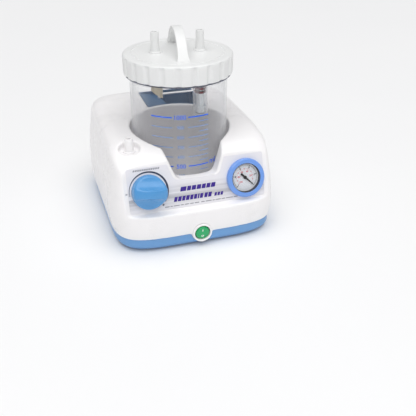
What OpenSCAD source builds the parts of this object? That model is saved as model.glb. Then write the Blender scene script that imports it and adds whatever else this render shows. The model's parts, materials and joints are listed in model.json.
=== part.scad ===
// Table-top secretion aspirator: a moulded two-part housing with a well for a
// clear collection jar, a screw lid with float valve, a vacuum regulator, a
// vacuum gauge, a mains switch and a motor-driven piston pump.
// Millimetres, +Z up, +X to the user's right, the front panel faces -Y.
// The origin is on the ground, under the centre of the machine's outline.

/* [Housing] */
// Half width of the housing at the seam
half_w = 93.4; // [90:0.2:100]
// Depth from the widest line to the front
front_d = 80.5; // [76:0.5:86]
// Depth from the widest line to the back
rear_d = 138; // [128:0.5:144]
// Height of the top face near the back
top_z = 116.2; // [110:0.2:122]
// Height of the seam between the cover and the base tray
seam_z = 17; // [14:0.5:20]
// Wall thickness of the cover
wall = 2.8; // [2.2:0.1:3.4]
// Distance from the jar's axis forward from the origin
jar_forward = 24.6; // [20:0.1:30]

/* [Panel] */
// Lean of the front panel from the vertical, in degrees
panel_tilt = 15.2; // [10:0.2:20]
// Distance of the knob and the gauge from the centre line
dial_x = 55; // [50:0.5:57]
// Outer radius of the gauge's bezel
bezel_r = 21.9; // [20:0.1:23]
// Radius of the regulator knob
knob_r = 18.6; // [17:0.1:20]
// Height of the regulator knob
knob_h = 19; // [15:0.5:22]

/* [Jar] */
// Outer radius of the jar
jar_r = 54; // [52:0.2:54.6]
// Wall of the jar
jar_wall = 2.1; // [1.8:0.1:3]
// Height of the jar
jar_h = 169; // [160:1:172]
// Radius of the well that the jar stands in
well_r = 57; // [56.5:0.1:57.5]

/* [Lid] */
// Outer radius of the lid
lid_r = 60; // [58.5:0.1:61]
// Height of the lid
lid_h = 20.9; // [18:0.1:22]
// Number of finger scallops round the lid
scallops = 22; // [12:1:30]
// Turn of the lid at rest, in degrees
lid_turn = -7; // [-20:1:20]
// Distance of each hose nozzle from the lid's centre
nozzle_x = 24.4; // [22:0.2:27]
// Height of the hose nozzles
nozzle_h = 22; // [18:0.5:24]
// Height of the carrying handle
handle_h = 26.3; // [22:0.1:32]

/* [Pump] */
// Radius of the motor's can
motor_r = 27; // [25:0.5:28]
// Half of the piston's stroke
crank_r = 6; // [4:0.5:6]
// Radius of the cylinder's bore
bore_r = 15; // [13:0.5:16]

/* [Hidden] */
$fn = 64;

mid_y = -4;
front_n = 4.9;
rear_n = 7.5;
ring_points = 48;
side_curve = [[0, 0], [-3.5, 0.25], [-0.95, 0.62], [5, 0.93]];
edge_curve = [[5, 0.93], [7, 0.97], [12, 1], [22, 1]];
side_steps = 5;
edge_steps = 4;
crown_insets = [30, 38, 48, 62, 76];
front_drop = 17;
drop_length = 19;
drop_start = -62;
drop_limit = -70;
panel_y = -69.5;
panel_z = 70;
panel_low_z = 46.5;
lip_z = 43.5;
panel_half_w = 81;
label_t = 0.5;
well_floor_z = 20.5;
jar_z = 21;
lid_z = 176.6;
lid_top = lid_z + lid_h;
jar_top = jar_z + jar_h;
gasket_t = 3;
grip_x0 = -23;
grip_x1 = 46;
grip_y1 = 115.8;
grip_front_r = 61.8;
grip_z = 93;
grip_skin = 1.8;
ramp_x1 = 5;
ramp_z = 110;
bar_x0 = -1;
bar_y0 = 99.5;
bar_y1 = 104;
bar_z = 109;
bar_foot = 4.5;
bar_foot_z = 106;
bar_top_z = 115.8;
switch_y = -86;
switch_z = 18;
rocker_r = 8;
surround_r = 10;
tab_r = 11.8;
inlet_x = 60;
inlet_z = 40;
inlet_y = 136;
shaft_y = 96;
shaft_z = 42;
shaft_r = 4;
cyl_x = 17;
cyl_low = 64;
cyl_high = 84;
head_top = 90;

body_nozzle_x = -67;
body_nozzle_y = -39;
body_nozzle_z = 104.6;
dish_r = 11.5;

function bezier(p, t) =
    pow(1 - t, 3) * p[0] + 3 * pow(1 - t, 2) * t * p[1] + 3 * (1 - t) * t * t * p[2] + pow(t, 3) * p[3];

// Inset and relative height of each ring of the housing's outer form
section = concat(
    [for (i = [0:side_steps]) bezier(side_curve, i / side_steps)],
    [for (i = [1:edge_steps]) bezier(edge_curve, i / edge_steps)],
    [for (inset = crown_insets) [inset, 1]]);

function crown_z(x, y) =
    top_z + 0.01 * y - front_drop * exp((drop_start - max(y, drop_limit)) / drop_length) - 1.5 * pow(x / 90, 2);

function plan_point(angle, inset) =
    let (c = cos(angle), s = sin(angle), n = s < 0 ? front_n : rear_n, d = s < 0 ? front_d : rear_d)
    [(half_w - inset) * sign(c) * pow(abs(c), 2 / n), mid_y + (d - inset) * sign(s) * pow(abs(s), 2 / n)];

function plan_ring(inset) = [for (i = [0:ring_points - 1]) plan_point(i * 360 / ring_points, inset)];

function ring_at(row, inset, low) = [for (p = plan_ring(row[0] + inset))
    [p[0], p[1], low + (crown_z(p[0], p[1]) - inset - low) * row[1]]];

// The housing's outer form, drawn in by an inset, from a given height up to the crowned top
module housing_form(inset, low) {
    rings = [for (row = section) ring_at(row, inset, low)];
    n = ring_points;
    rows = len(rings);
    points = concat([for (ring = rings) each ring],
        [[0, mid_y, low], [0, mid_y + 30, crown_z(0, mid_y + 30) - inset]]);
    sides = [for (r = [0:rows - 2], i = [0:n - 1]) let (j = (i + 1) % n)
        each [[r * n + i, (r + 1) * n + i, r * n + j], [r * n + j, (r + 1) * n + i, (r + 1) * n + j]]];
    bottom = [for (i = [0:n - 1]) [rows * n, i, (i + 1) % n]];
    top = [for (i = [0:n - 1]) [rows * n + 1, (rows - 1) * n + (i + 1) % n, (rows - 1) * n + i]];
    polyhedron(points, concat(sides, bottom, top));
}

// Everything drawn about the jar's axis moves forward of the origin
module from_jar() translate([0, -jar_forward, 0]) children();

// Local X and Y lie in the front panel, and local Z points out of it
module on_panel(x = 0) translate([x, panel_y, panel_z]) rotate([90 - panel_tilt, 0, 0]) children();

module along_x(x) translate([x, 0, 0]) rotate([0, 90, 0]) children();

// The space in front of the tilted panel, grown backwards and downwards by a wall
module panel_recess(grow) {
    slope = tan(panel_tilt);
    back = panel_y - (panel_z - panel_low_z) * slope + grow / cos(panel_tilt);
    high = 140;
    translate([-panel_half_w - grow, 0, 0]) rotate([90, 0, 90])
        linear_extrude(2 * (panel_half_w + grow))
        polygon([[back - grow * slope, panel_low_z - grow], [-120, lip_z - grow], [-120, high],
            [back + (high - panel_low_z) * slope, high]]);
}

// U-shaped window outline in the front wall, in X and Z
module notch_outline(grow) {
    offset(delta = grow) offset(r = 9, $fn = 32) offset(delta = -9)
        polygon([[-21.5, 77], [21.5, 77], [27.3, 91], [34, 109], [46, 132], [-46, 132], [-34, 109],
            [-27.3, 91]]);
}

module notch(grow) translate([0, -20, 0]) rotate([90, 0, 0]) linear_extrude(90) notch_outline(grow);

// Plan of the hand grip, between the well's rim and the back, drawn in by a skin
module grip_plan(skin) {
    difference() {
        translate([grip_x0 + skin, 30]) square([grip_x1 - grip_x0 - 2 * skin, grip_y1 - skin - 30]);
        circle(r = grip_front_r + skin, $fn = 96);
    }
}

// White bar across the hand grip
module grip_bar() translate([bar_x0, bar_y0, bar_z]) cube([grip_x1 - bar_x0 + 1, bar_y1 - bar_y0, 20]);

// The bar's free end stands on a foot in the thumb ramp's pocket
module grip_bar_foot(top, inset) translate([bar_x0 + inset, bar_y0 + inset, bar_foot_z + inset])
    cube([bar_foot - 2 * inset, bar_y1 - bar_y0 - 2 * inset, top - bar_foot_z - inset]);

// Round sunk dish that the body nozzle stands in
module nozzle_dish(grow) translate([body_nozzle_x, body_nozzle_y, body_nozzle_z - grow])
    cylinder(r = dish_r + grow, h = 40, $fn = 48);

cover_posts = [[-84, -30], [84, -30], [-84, 80], [84, 80]];

module cover_outside() {
    difference() {
        union() {
            housing_form(0, seam_z);
            translate([inlet_x - 28, 128, inlet_z - 17]) cube([56, inlet_y - 128, 34]);
        }
        panel_recess(0);
    }
}

module cover_inside() {
    difference() {
        housing_form(wall, seam_z - 1);
        panel_recess(wall);
        notch(wall);
        nozzle_dish(wall);
        translate([inlet_x - 28, 130, inlet_z - 17]) cube([56, 20, 34]);
    }
}

module switch_bore(radius) translate([0, -60, switch_z]) rotate([90, 0, 0]) cylinder(r = radius, h = 40);

module well_outside() cylinder(r = well_r + wall, h = 140);

// Openings in the cover's skin
module cover_openings() {
    notch(0);
    nozzle_dish(0);
    difference() {
        translate([0, 0, grip_z - 1]) linear_extrude(60) grip_plan(0);
        grip_bar();
    }
    on_panel(-dial_x) translate([0, 0, -10]) cylinder(r = 5, h = 20);
    on_panel(dial_x) translate([0, 0, -10]) cylinder(r = 19.6, h = 20);
    translate([body_nozzle_x, body_nozzle_y, 90]) cylinder(r = 4, h = 30);
    translate([inlet_x - 17, 110, inlet_z - 12.5]) cube([34, 40, 25]);
    for (side = [-1, 1]) translate([inlet_x + 20 * side, 115, inlet_z]) rotate([-90, 0, 0])
        cylinder(r = 1.5, h = 30);
    switch_bore(surround_r + 0.1);
}

// Outer skin with the window's frame, the panel and the screw posts. A resize by nothing keeps
// each free-form shape together as a single mesh.
module housing_cover() {
    color("#f2f2f2") from_jar() resize([0, 0, 0]) union() {
        difference() {
            cover_outside();
            cover_inside();
            cover_openings();
            well_outside();
        }
        difference() {
            translate([0, switch_y + 5, switch_z]) rotate([90, 0, 0]) cylinder(r = tab_r, h = 5);
            switch_bore(surround_r + 0.1);
        }
        grip_bar_foot(bar_top_z, 0.2);
        for (p = cover_posts) difference() {
            union() {
                translate([p[0], p[1], 5.6]) cylinder(r = 4.5, h = 30, $fn = 24);
                translate([p[0] + (p[0] > 0 ? 0 : -7.4), p[1] - 1.5, seam_z + 1]) cube([7.4, 3, 17.6]);
            }
            translate([p[0], p[1], 5]) cylinder(r = 1.64, h = 20, $fn = 24);
        }
    }
}

// Cup-shaped well of the cover, with the window's mouth in its front
module jar_well() {
    color("#f2f2f2") from_jar() resize([0, 0, 0]) difference() {
        intersection() {
            cover_outside();
            well_outside();
        }
        cylinder(r = well_r + wall + 1, h = well_floor_z - 2.5);
        translate([0, 0, well_floor_z]) cylinder(r = well_r, h = 140);
        notch(0);
    }
}

// The blue lower tray carries the pump and closes the cover from below
module base_tray() {
    vents = 7;
    color("#6c9ed2") from_jar() difference() {
        translate([0, 0, 3]) linear_extrude(seam_z - 3) polygon(plan_ring(1.2));
        translate([0, 0, 5.5]) linear_extrude(seam_z) polygon(plan_ring(3.8));
        switch_bore(tab_r + 0.1);
        for (p = cover_posts) translate([p[0], p[1], 0]) {
            cylinder(r = 1.8, h = 10);
            cylinder(r = 3.6, h = 4.4);
        }
        for (p = grommet_places) translate([p[0], p[1], 3.6]) cylinder(r = 2, h = 5);
        for (i = [0:vents - 1]) translate([-82, 22 + 7 * i, 0]) cube([16, 3, 10]);
    }
}

module rubber_feet() {
    color("#3a3d42") from_jar() for (x = [-66, 66], y = [-50, 112]) translate([x, y, 0])
        cylinder(r1 = 7.2, r2 = 8, h = 3);
}

module case_screws() {
    color("#b8bcc0") from_jar() for (p = cover_posts) translate([p[0], p[1], 0]) {
        translate([0, 0, 3.4]) cylinder(r = 3.2, h = 1);
        translate([0, 0, 4.4]) cylinder(r = 1.6, h = 16);
    }
}

// Thin printed overlay on the front panel
module front_label() {
    foot = -22.8;
    head = 26.5;
    color("#e6e4ee") from_jar() on_panel() linear_extrude(label_t) difference() {
        polygon([[-77, foot], [77, foot], [77, head], [32, head], [25.5, 8], [-25.5, 8], [-32, head],
            [-77, head]]);
        translate([-dial_x, 0]) circle(r = 5);
        translate([dial_x, 0]) circle(r = 19.6);
    }
}

// Blue hand-grip tub let into the top behind the jar, with a thumb ramp at its left end
module grip_insert() {
    rim_z = 116.2;
    floor_z = grip_z + grip_skin;
    left = grip_x0 + grip_skin;
    color("#3b6ea5") from_jar() difference() {
        translate([0, 0, grip_z]) linear_extrude(rim_z - grip_z) grip_plan(0);
        intersection() {
            translate([0, 0, floor_z]) linear_extrude(60) grip_plan(grip_skin);
            translate([0, 140, 0]) rotate([90, 0, 0]) linear_extrude(120) polygon([[left, rim_z - 1],
                [ramp_x1, ramp_z], [ramp_x1, floor_z], [grip_x1, floor_z], [grip_x1, 150], [left, 150]]);
        }
        grip_bar();
        grip_bar_foot(130, 0);
    }
}

// Suction connection on top of the housing
module body_nozzle() {
    color("#e4e6e8") from_jar() translate([body_nozzle_x, body_nozzle_y, 0]) difference() {
        union() {
            translate([0, 0, body_nozzle_z]) cylinder(r = 6.6, h = 1.4);
            translate([0, 0, body_nozzle_z + 1.4]) cylinder(r = 4.7, h = 11.6);
            translate([0, 0, body_nozzle_z + 13]) cylinder(r1 = 4.7, r2 = 4.2, h = 2.6);
            translate([0, 0, 94]) cylinder(r = 4, h = 12);
        }
        translate([0, 0, 90]) cylinder(r = 2.4, h = 40);
    }
}

// Junction block under the body nozzle
module nozzle_manifold() {
    color("#8d9299") from_jar() translate([body_nozzle_x, body_nozzle_y, 0]) difference() {
        union() {
            translate([-7, -7, 82]) cube([14, 14, 12]);
            translate([0, 6, 88]) rotate([-90, 0, 0]) cylinder(r = 2.4, h = 9);
            translate([0, 0, 74]) cylinder(r = 2.4, h = 9);
        }
        translate([0, 0, 72]) cylinder(r = 1.5, h = 23);
        translate([0, 0, 88]) rotate([-90, 0, 0]) cylinder(r = 1.5, h = 20);
    }
}

// Needle-valve body behind the panel
module regulator_valve() {
    color("#c9a24a") from_jar() on_panel(-dial_x) difference() {
        union() {
            translate([0, 0, -8]) cylinder(r = 8, h = 8 - wall);
            translate([0, 0, -wall]) cylinder(r = 4.9, h = wall + label_t);
            translate([0, 0, -20]) cylinder(r = 6, h = 12);
            translate([0, 0, -15]) rotate([90, 0, 0]) cylinder(r = 2.4, h = 13);
            translate([0, 0, -15]) rotate([0, -90, 0]) cylinder(r = 2.4, h = 13);
        }
        translate([0, 0, -14]) cylinder(r = 3, h = 20);
        translate([0, 0, -15]) rotate([90, 0, 0]) cylinder(r = 1.4, h = 20);
        translate([0, 0, -15]) rotate([0, -90, 0]) cylinder(r = 1.4, h = 20);
    }
}

module regulator_spindle() {
    color("#b9bdc2") from_jar() on_panel(-dial_x) translate([0, 0, -12]) cylinder(r = 2.96, h = 24);
}

// Domed knob whose two scoops leave a grip ridge
module regulator_knob() {
    base = label_t + 0.5;
    dome_r = 36;
    color("#5aa0e1") from_jar() on_panel(-dial_x) difference() {
        intersection() {
            translate([0, 0, base]) cylinder(r1 = knob_r, r2 = knob_r - 1.2, h = knob_h);
            translate([0, 0, base + knob_h - dome_r]) sphere(r = dome_r);
        }
        rotate([0, 0, -8]) for (side = [-1, 1]) translate([0, side * 19, base + knob_h + 3])
            rotate([0, 90, 0]) cylinder(r = 14.5, h = 60, center = true);
        translate([0, 0, -1]) cylinder(r = 2.96, h = 13);
    }
}

module gauge_case() {
    color("#2c2e33") from_jar() on_panel(dial_x) difference() {
        translate([0, 0, -18]) cylinder(r = 19.5, h = 18 + label_t);
        translate([0, 0, -16.5]) cylinder(r = 17.6, h = 30);
        translate([0, 0, -20]) cylinder(r = 4.5, h = 10);
    }
}

module gauge_bezel() {
    lens_r = 17.2;
    bezel_in = 16.4;
    color("#6eaafa") from_jar() on_panel(dial_x) rotate_extrude() difference() {
        union() {
            translate([bezel_in, label_t]) square([bezel_r - bezel_in - 2.4, 5]);
            translate([bezel_in, label_t]) square([bezel_r - bezel_in, 2.6]);
            translate([bezel_r - 2.4, label_t + 2.6]) circle(r = 2.4, $fn = 32);
        }
        translate([0, 2]) square([lens_r, 2]);
        translate([0, label_t - 1]) square([17.6, 1.6]);
    }
}

module gauge_dial() {
    color("#d9dcdf") from_jar() on_panel(dial_x) difference() {
        translate([0, 0, -0.6]) cylinder(r = 17.6, h = 0.6);
        translate([0, 0, -2]) cylinder(r = 1.4, h = 4);
    }
}

module gauge_lens() {
    color("#dfeaf5", 0.3) from_jar() on_panel(dial_x) translate([0, 0, 2.4]) cylinder(r = 17.2, h = 1.2);
}

// Post and plate that carry the pointer's staff
module gauge_movement() {
    color("#c8a64e") from_jar() on_panel(dial_x) difference() {
        union() {
            translate([0, 0, -9]) cylinder(r = 6, h = 2);
            translate([-3, -13, -16.5]) cube([6, 5, 9.5]);
            translate([-3, -13, -9]) cube([6, 13, 2]);
        }
        translate([0, 0, -12]) cylinder(r = 0.85, h = 10);
    }
}

module bourdon_tube() {
    color("#c8a64e") from_jar() on_panel(dial_x) translate([0, 0, -14.5]) rotate([0, 0, -60])
        rotate_extrude(angle = 300) translate([13.4, 0]) square([1.4, 5]);
}

module gauge_port() {
    color("#c8a64e") from_jar() on_panel(dial_x) difference() {
        union() {
            translate([0, 0, -22]) cylinder(r = 4.5, h = 6.6);
            translate([0, 0, -30]) cylinder(r = 2.4, h = 8);
            translate([-1.5, 0, -16.5]) cube([3, 14.6, 2]);
        }
        translate([0, 0, -31]) cylinder(r = 1.4, h = 14);
    }
}

// The pointer rests at zero, at the lower right of the dial
module gauge_needle() {
    color("#1a1a1c") from_jar() on_panel(dial_x) {
        translate([0, 0, 0.6]) cylinder(r = 2, h = 1);
        translate([0, 0, -8.8]) cylinder(r = 0.8, h = 9.6);
        rotate([0, 0, -45]) translate([0, 0, 0.9]) linear_extrude(0.5)
            polygon([[-6, -1], [-6, 1], [0, 1.2], [12.8, 0.3], [12.8, -0.3], [0, -1.2]]);
    }
}

module switch_surround() {
    color("#f4f4f4") from_jar() translate([0, switch_y, switch_z]) rotate([90, 0, 0]) difference() {
        union() {
            translate([0, 0, -7]) cylinder(r = surround_r, h = 7);
            cylinder(r = surround_r + 1, h = 1.6);
        }
        translate([0, 0, -8]) cylinder(r = rocker_r + 0.9, h = 12);
        translate([0, 0, -2.5]) rotate([0, 90, 0]) cylinder(r = 1.05, h = 2 * rocker_r + 3, center = true);
    }
}

module switch_body() {
    color("#2d2f33") from_jar() translate([-9, switch_y + 7, switch_z - 9]) difference() {
        cube([18, 14, 18]);
        translate([1.5, -1, 1.5]) cube([15, 8, 15]);
    }
}

// Round rocker, pushed in at its lower half at rest
module switch_rocker() {
    color("#0fa55c") from_jar() translate([0, switch_y + 2.5, switch_z]) rotate([100, 0, 0]) {
        intersection() {
            sphere(r = rocker_r + 0.55);
            translate([0, 0, -2.5]) cylinder(r = rocker_r, h = 7);
        }
        rotate([0, 90, 0]) cylinder(r = 1, h = 2 * rocker_r + 2.4, center = true);
    }
}

module inlet_body() {
    color("#26282c") from_jar() translate([inlet_x, inlet_y, inlet_z]) rotate([90, 0, 0]) difference() {
        union() {
            translate([-25, -15, -1.6]) cube([50, 30, 1.6]);
            translate([-16.5, -12, 0]) cube([33, 24, 26]);
        }
        translate([-12.2, -8.3, -4]) cube([24.4, 16.6, 20]);
        for (side = [-1, 1]) translate([20 * side, 0, -4]) cylinder(r = 1.7, h = 8);
    }
}

module inlet_pins() {
    color("#d8c27a") from_jar() translate([inlet_x, inlet_y, inlet_z]) rotate([90, 0, 0])
        for (p = [[-7, -2], [7, -2], [0, 2]]) translate([p[0] - 1, p[1] - 2, 2]) cube([2, 4, 14]);
}

module inlet_screws() {
    color("#b8bcc0") from_jar() for (side = [-1, 1])
        translate([inlet_x + 20 * side, inlet_y + 1.6, inlet_z]) rotate([90, 0, 0]) {
            translate([0, 0, -1.4]) cylinder(r = 2.8, h = 1.4);
            cylinder(r = 1.5, h = 9);
        }
}

frame_y0 = 74;
frame_y1 = 118;
grommet_places = [[-60, 80], [-60, 112], [34, 80], [34, 112]];

// Cast frame: base plate, motor saddle, two cheeks and the cylinder's seat
module pump_frame() {
    span = frame_y1 - frame_y0;
    color("#a9adb2") from_jar() difference() {
        union() {
            translate([-68, frame_y0, 9]) cube([112, span, 3]);
            translate([-10, frame_y0, 12]) cube([7, span, cyl_low - 12]);
            translate([38, frame_y0, 12]) cube([5, span, cyl_low - 12]);
            translate([-10, frame_y0, cyl_low - 4]) cube([53, span, 4]);
            translate([-52, shaft_y - 15, 12]) cube([12, 30, 12]);
        }
        translate([0, shaft_y, shaft_z]) along_x(-60) cylinder(r = motor_r, h = 50);
        translate([0, shaft_y, shaft_z]) along_x(-20) cylinder(r = 11, h = 20);
        translate([cyl_x, shaft_y, 50]) cylinder(r = bore_r, h = 20);
        for (p = grommet_places) translate([p[0], p[1], 5]) cylinder(r = 2.2, h = 10);
    }
}

module pump_grommets() {
    color("#3a3d42") from_jar() for (p = grommet_places) translate([p[0], p[1], 5.5]) difference() {
        cylinder(r = 5.5, h = 3.5);
        translate([0, 0, -1]) cylinder(r = 2, h = 6);
    }
}

module pump_screws() {
    color("#b8bcc0") from_jar() for (p = grommet_places) translate([p[0], p[1], 0]) {
        translate([0, 0, 12]) cylinder(r = 3.6, h = 2.4);
        translate([0, 0, 4]) cylinder(r = 2, h = 8);
    }
}

module motor_can() {
    color("#c4c8cc") from_jar() translate([0, shaft_y, shaft_z]) difference() {
        along_x(-66) cylinder(r = motor_r, h = 56);
        along_x(-62) cylinder(r = motor_r - 2.6, h = 60);
        along_x(-70) cylinder(r = 8, h = 20);
    }
}

module motor_stator() {
    color("#7d8187") from_jar() translate([0, shaft_y, shaft_z]) difference() {
        along_x(-52) cylinder(r = motor_r - 2.6, h = 32);
        along_x(-60) cylinder(r = 14.6, h = 50);
    }
}

module motor_windings() {
    color("#b5652a") from_jar() translate([0, shaft_y, shaft_z]) for (x = [-57, -20]) along_x(x)
        difference() {
            cylinder(r = 22.5, h = 5);
            translate([0, 0, -1]) cylinder(r = 16, h = 8);
        }
}

module bearing(x, outer, long) translate([0, shaft_y, shaft_z]) along_x(x) difference() {
    cylinder(r = outer, h = long);
    translate([0, 0, -1]) cylinder(r = shaft_r, h = long + 2);
}

module front_bearing() color("#d4d7da") from_jar() bearing(-10, 11, 7);

module rear_bearing() color("#d4d7da") from_jar() bearing(-66, 8, 5);

module motor_shaft() {
    color("#c9ccd0") from_jar() translate([0, shaft_y, shaft_z]) along_x(-79) cylinder(r = shaft_r - 0.03, h = 79);
}

module motor_rotor() {
    color("#8f9399") from_jar() translate([0, shaft_y, shaft_z]) difference() {
        along_x(-51) cylinder(r = 14, h = 30);
        along_x(-60) cylinder(r = shaft_r - 0.03, h = 50);
    }
}

module cooling_fan() {
    blades = 7;
    color("#e9ebec") from_jar() translate([0, shaft_y, shaft_z]) along_x(-79) difference() {
        union() {
            cylinder(r = 8, h = 9);
            for (i = [0:blades - 1]) rotate([0, 0, i * 360 / blades]) translate([6, 0, 4.5])
                rotate([35, 0, 0]) translate([0, -0.8, -4]) cube([18, 1.6, 8]);
        }
        translate([0, 0, -1]) cylinder(r = shaft_r - 0.03, h = 12);
    }
}

// Disc with a counterweight; its pin stands at the top at rest
module crank_disc() {
    color("#9a9ea4") from_jar() translate([0, shaft_y, shaft_z]) difference() {
        along_x(0) cylinder(r = 12, h = 6);
        translate([-1, -14, 10]) cube([8, 28, 6]);
        translate([0, 0, crank_r]) along_x(2) cylinder(r = 3, h = 6);
    }
}

module crank_pin() {
    color("#d4d7da") from_jar() translate([0, shaft_y, shaft_z + crank_r]) along_x(2) cylinder(r = 3, h = 11);
}

rod_x = 13.5;
piston_top = 80.5;

// One-piece rod and piston head; the big end hangs in front of the crank pin
module piston_rod() {
    big_z = shaft_z + crank_r;
    color("#b4b8bd") from_jar() difference() {
        union() {
            translate([0, shaft_y, big_z]) along_x(rod_x) cylinder(r = 7, h = 7);
            translate([rod_x, shaft_y - 4, big_z]) cube([7, 8, piston_top - 4 - big_z]);
            translate([cyl_x, shaft_y, piston_top - 4]) cylinder(r = bore_r - 0.6, h = 4);
        }
        translate([0, shaft_y, big_z]) along_x(rod_x - 1) cylinder(r = 3.2, h = 9);
    }
}

module piston_seal() {
    color("#e8e4d6") from_jar() translate([cyl_x, shaft_y, piston_top]) cylinder(r = bore_r - 0.05, h = 2);
}

module pump_cylinder() {
    color("#c4c8cc") from_jar() translate([cyl_x, shaft_y, cyl_low]) difference() {
        union() {
            cylinder(r = bore_r + 3, h = cyl_high - cyl_low);
            for (z = [4, 8, 12]) translate([0, 0, z]) cylinder(r = bore_r + 5.5, h = 1.6);
        }
        translate([0, 0, -1]) cylinder(r = bore_r, h = 40);
    }
}

head_half = 19;
head_holes = [for (x = [-1, 1], y = [-1, 1]) [cyl_x + 16 * x, shaft_y + 16 * y]];

module cylinder_head() {
    color("#a9adb2") from_jar() difference() {
        union() {
            translate([cyl_x - head_half, shaft_y - head_half, cyl_high])
                cube([2 * head_half, 2 * head_half, head_top - cyl_high]);
            translate([0, shaft_y - 8, 87]) along_x(-12) cylinder(r = 2.4, h = 12);
        }
        translate([0, shaft_y - 8, 87]) along_x(-13) cylinder(r = 1.4, h = 25);
        for (p = head_holes) translate([p[0], p[1], 80]) cylinder(r = 1.6, h = 12);
    }
}

// Long screws clamp the head and the cylinder to the frame
module head_screws() {
    color("#b8bcc0") from_jar() for (p = head_holes) translate([p[0], p[1], 0]) {
        translate([0, 0, cyl_low]) cylinder(r = 1.6, h = head_top - cyl_low);
        translate([0, 0, head_top]) cylinder(r = 2.8, h = 2);
    }
}

module exhaust_silencer() {
    color("#e9ebec") from_jar() translate([0, shaft_y + 8, 86]) difference() {
        union() {
            along_x(cyl_x + head_half) cylinder(r = 2, h = 4);
            along_x(cyl_x + head_half + 4) cylinder(r = 6, h = 22);
        }
        along_x(cyl_x + head_half + 22) cylinder(r = 3, h = 10);
    }
}

hose_r = 3.6;
hose_sides = 10;
wire_r = 2.2;
pump_route = [[-2, 88, 87], [-14, 88, 87], [-30, 87, 86], [-48, 82, 85], [-62, 72, 84], [-71, 56, 84],
    [-76, 34, 85], [-77, 10, 86], [-74, -10, 87.5], [-68.5, -22, 88], [-67, -32, 88]];
regulator_route = [[-67, -39, 82], [-67, -39, 72], [-68, -42, 64], [-72, -48, 58], [-75, -54, 58],
    [-74, -58, 63], [-dial_x - 15, -55.4, 66.4], [-dial_x - 6.5, -55.02, 66.07]];
gauge_route = [[-dial_x, -56.6, 59.5], [-dial_x, -58.4, 52.5], [-51, -62, 44], [-36, -66, 38], [0, -67.5, 36],
    [36, -66, 38], [53, -56, 44], [dial_x + 1, -42, 54], [dial_x, -38.5, 61], [dial_x, -41.5, 62.5],
    [dial_x, -46, 63.6]];
wire_route = [[60, 110, 36], [66, 104, 34], [76, 88, 26], [79, 60, 18], [78, 20, 13], [75, -20, 13],
    [62, -52, 14], [36, -67, 17], [9, -70, 19.5]];
motor_route = [[56, 110, 31], [58, 106, 22], [52, 113, 16], [44, 122, 16], [30, 126.5, 18], [0, 127.5, 24],
    [-24, 127, 34], [-30, 123.6, 42]];

function catmull(a, b, c, d, t) =
    0.5 * (2 * b + (c - a) * t + (2 * a - 5 * b + 4 * c - d) * t * t + (3 * b - a - 3 * c + d) * t * t * t);

function smooth_path(p, steps) = let (n = len(p) - 1) concat(
    [for (i = [0:n - 1], k = [0:steps - 1])
        catmull(p[max(i - 1, 0)], p[i], p[i + 1], p[min(i + 2, n)], k / steps)], [p[n]]);

function unit(v) = v / norm(v);

// A round tube swept along a smoothed route
module tube(route, radius, steps) {
    path = smooth_path(route, steps);
    last = len(path) - 1;
    m = hose_sides;
    rings = [for (i = [0:last]) let (
        t = unit(path[min(i + 1, last)] - path[max(i - 1, 0)]),
        side = unit(cross(t, abs(t[2]) > 0.9 ? [0, 1, 0] : [0, 0, 1])),
        up = cross(side, t))
        [for (k = [0:m - 1]) path[i] + radius * (cos(k * 360 / m) * side + sin(k * 360 / m) * up)]];
    walls = [for (i = [0:last - 1], k = [0:m - 1]) let (j = (k + 1) % m)
        each [[i * m + k, i * m + j, (i + 1) * m + k], [i * m + j, (i + 1) * m + j, (i + 1) * m + k]]];
    polyhedron([for (ring = rings) each ring],
        concat(walls, [[for (k = [m - 1:-1:0]) k]], [[for (k = [0:m - 1]) last * m + k]]));
}

module pump_hose() color("#dfe3e6") from_jar() tube(pump_route, hose_r, 2);

module regulator_hose() color("#dfe3e6") from_jar() tube(regulator_route, hose_r, 2);

module gauge_hose() color("#dfe3e6") from_jar() tube(gauge_route, hose_r, 2);

module mains_wiring() {
    color("#3b3e44") from_jar() {
        tube(wire_route, wire_r, 2);
        tube(motor_route, wire_r, 2);
    }
}

module jar() {
    color("#dfe9ef", 0.35) from_jar() rotate_extrude($fn = 96) difference() {
        union() {
            translate([0, jar_z]) square([jar_r - 4, jar_h]);
            translate([0, jar_z + 4]) square([jar_r, jar_h - 4]);
            intersection() {
                translate([jar_r - 4, jar_z + 4]) circle(r = 4, $fn = 32);
                translate([0, jar_z]) square([jar_r, 5]);
            }
            translate([0, lid_z - 4.4]) square([jar_r + 1.8, 3.2]);
            translate([0, jar_top - 8]) square([jar_r + 1.4, 2.4]);
        }
        translate([-1, jar_z + 3]) square([jar_r - jar_wall + 1, jar_h]);
        translate([-10, 0]) square([10, 300]);
    }
}

module lid_gasket() {
    color("#c9ccd0") from_jar() translate([0, 0, jar_top]) rotate_extrude($fn = 96)
        translate([jar_r - 4.5, 0]) square([5.5, gasket_t]);
}

module on_lid() from_jar() translate([0, 0, lid_top]) rotate([0, 0, lid_turn]) children();

// Hose nozzle with a straight end and a through bore
module lid_nozzle() {
    straight = 11;
    cylinder(r = 7, h = 1.6);
    cylinder(r1 = 5.1, r2 = 4.4, h = nozzle_h - straight);
    translate([0, 0, nozzle_h - straight]) cylinder(r = 4.4, h = straight);
}

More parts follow.
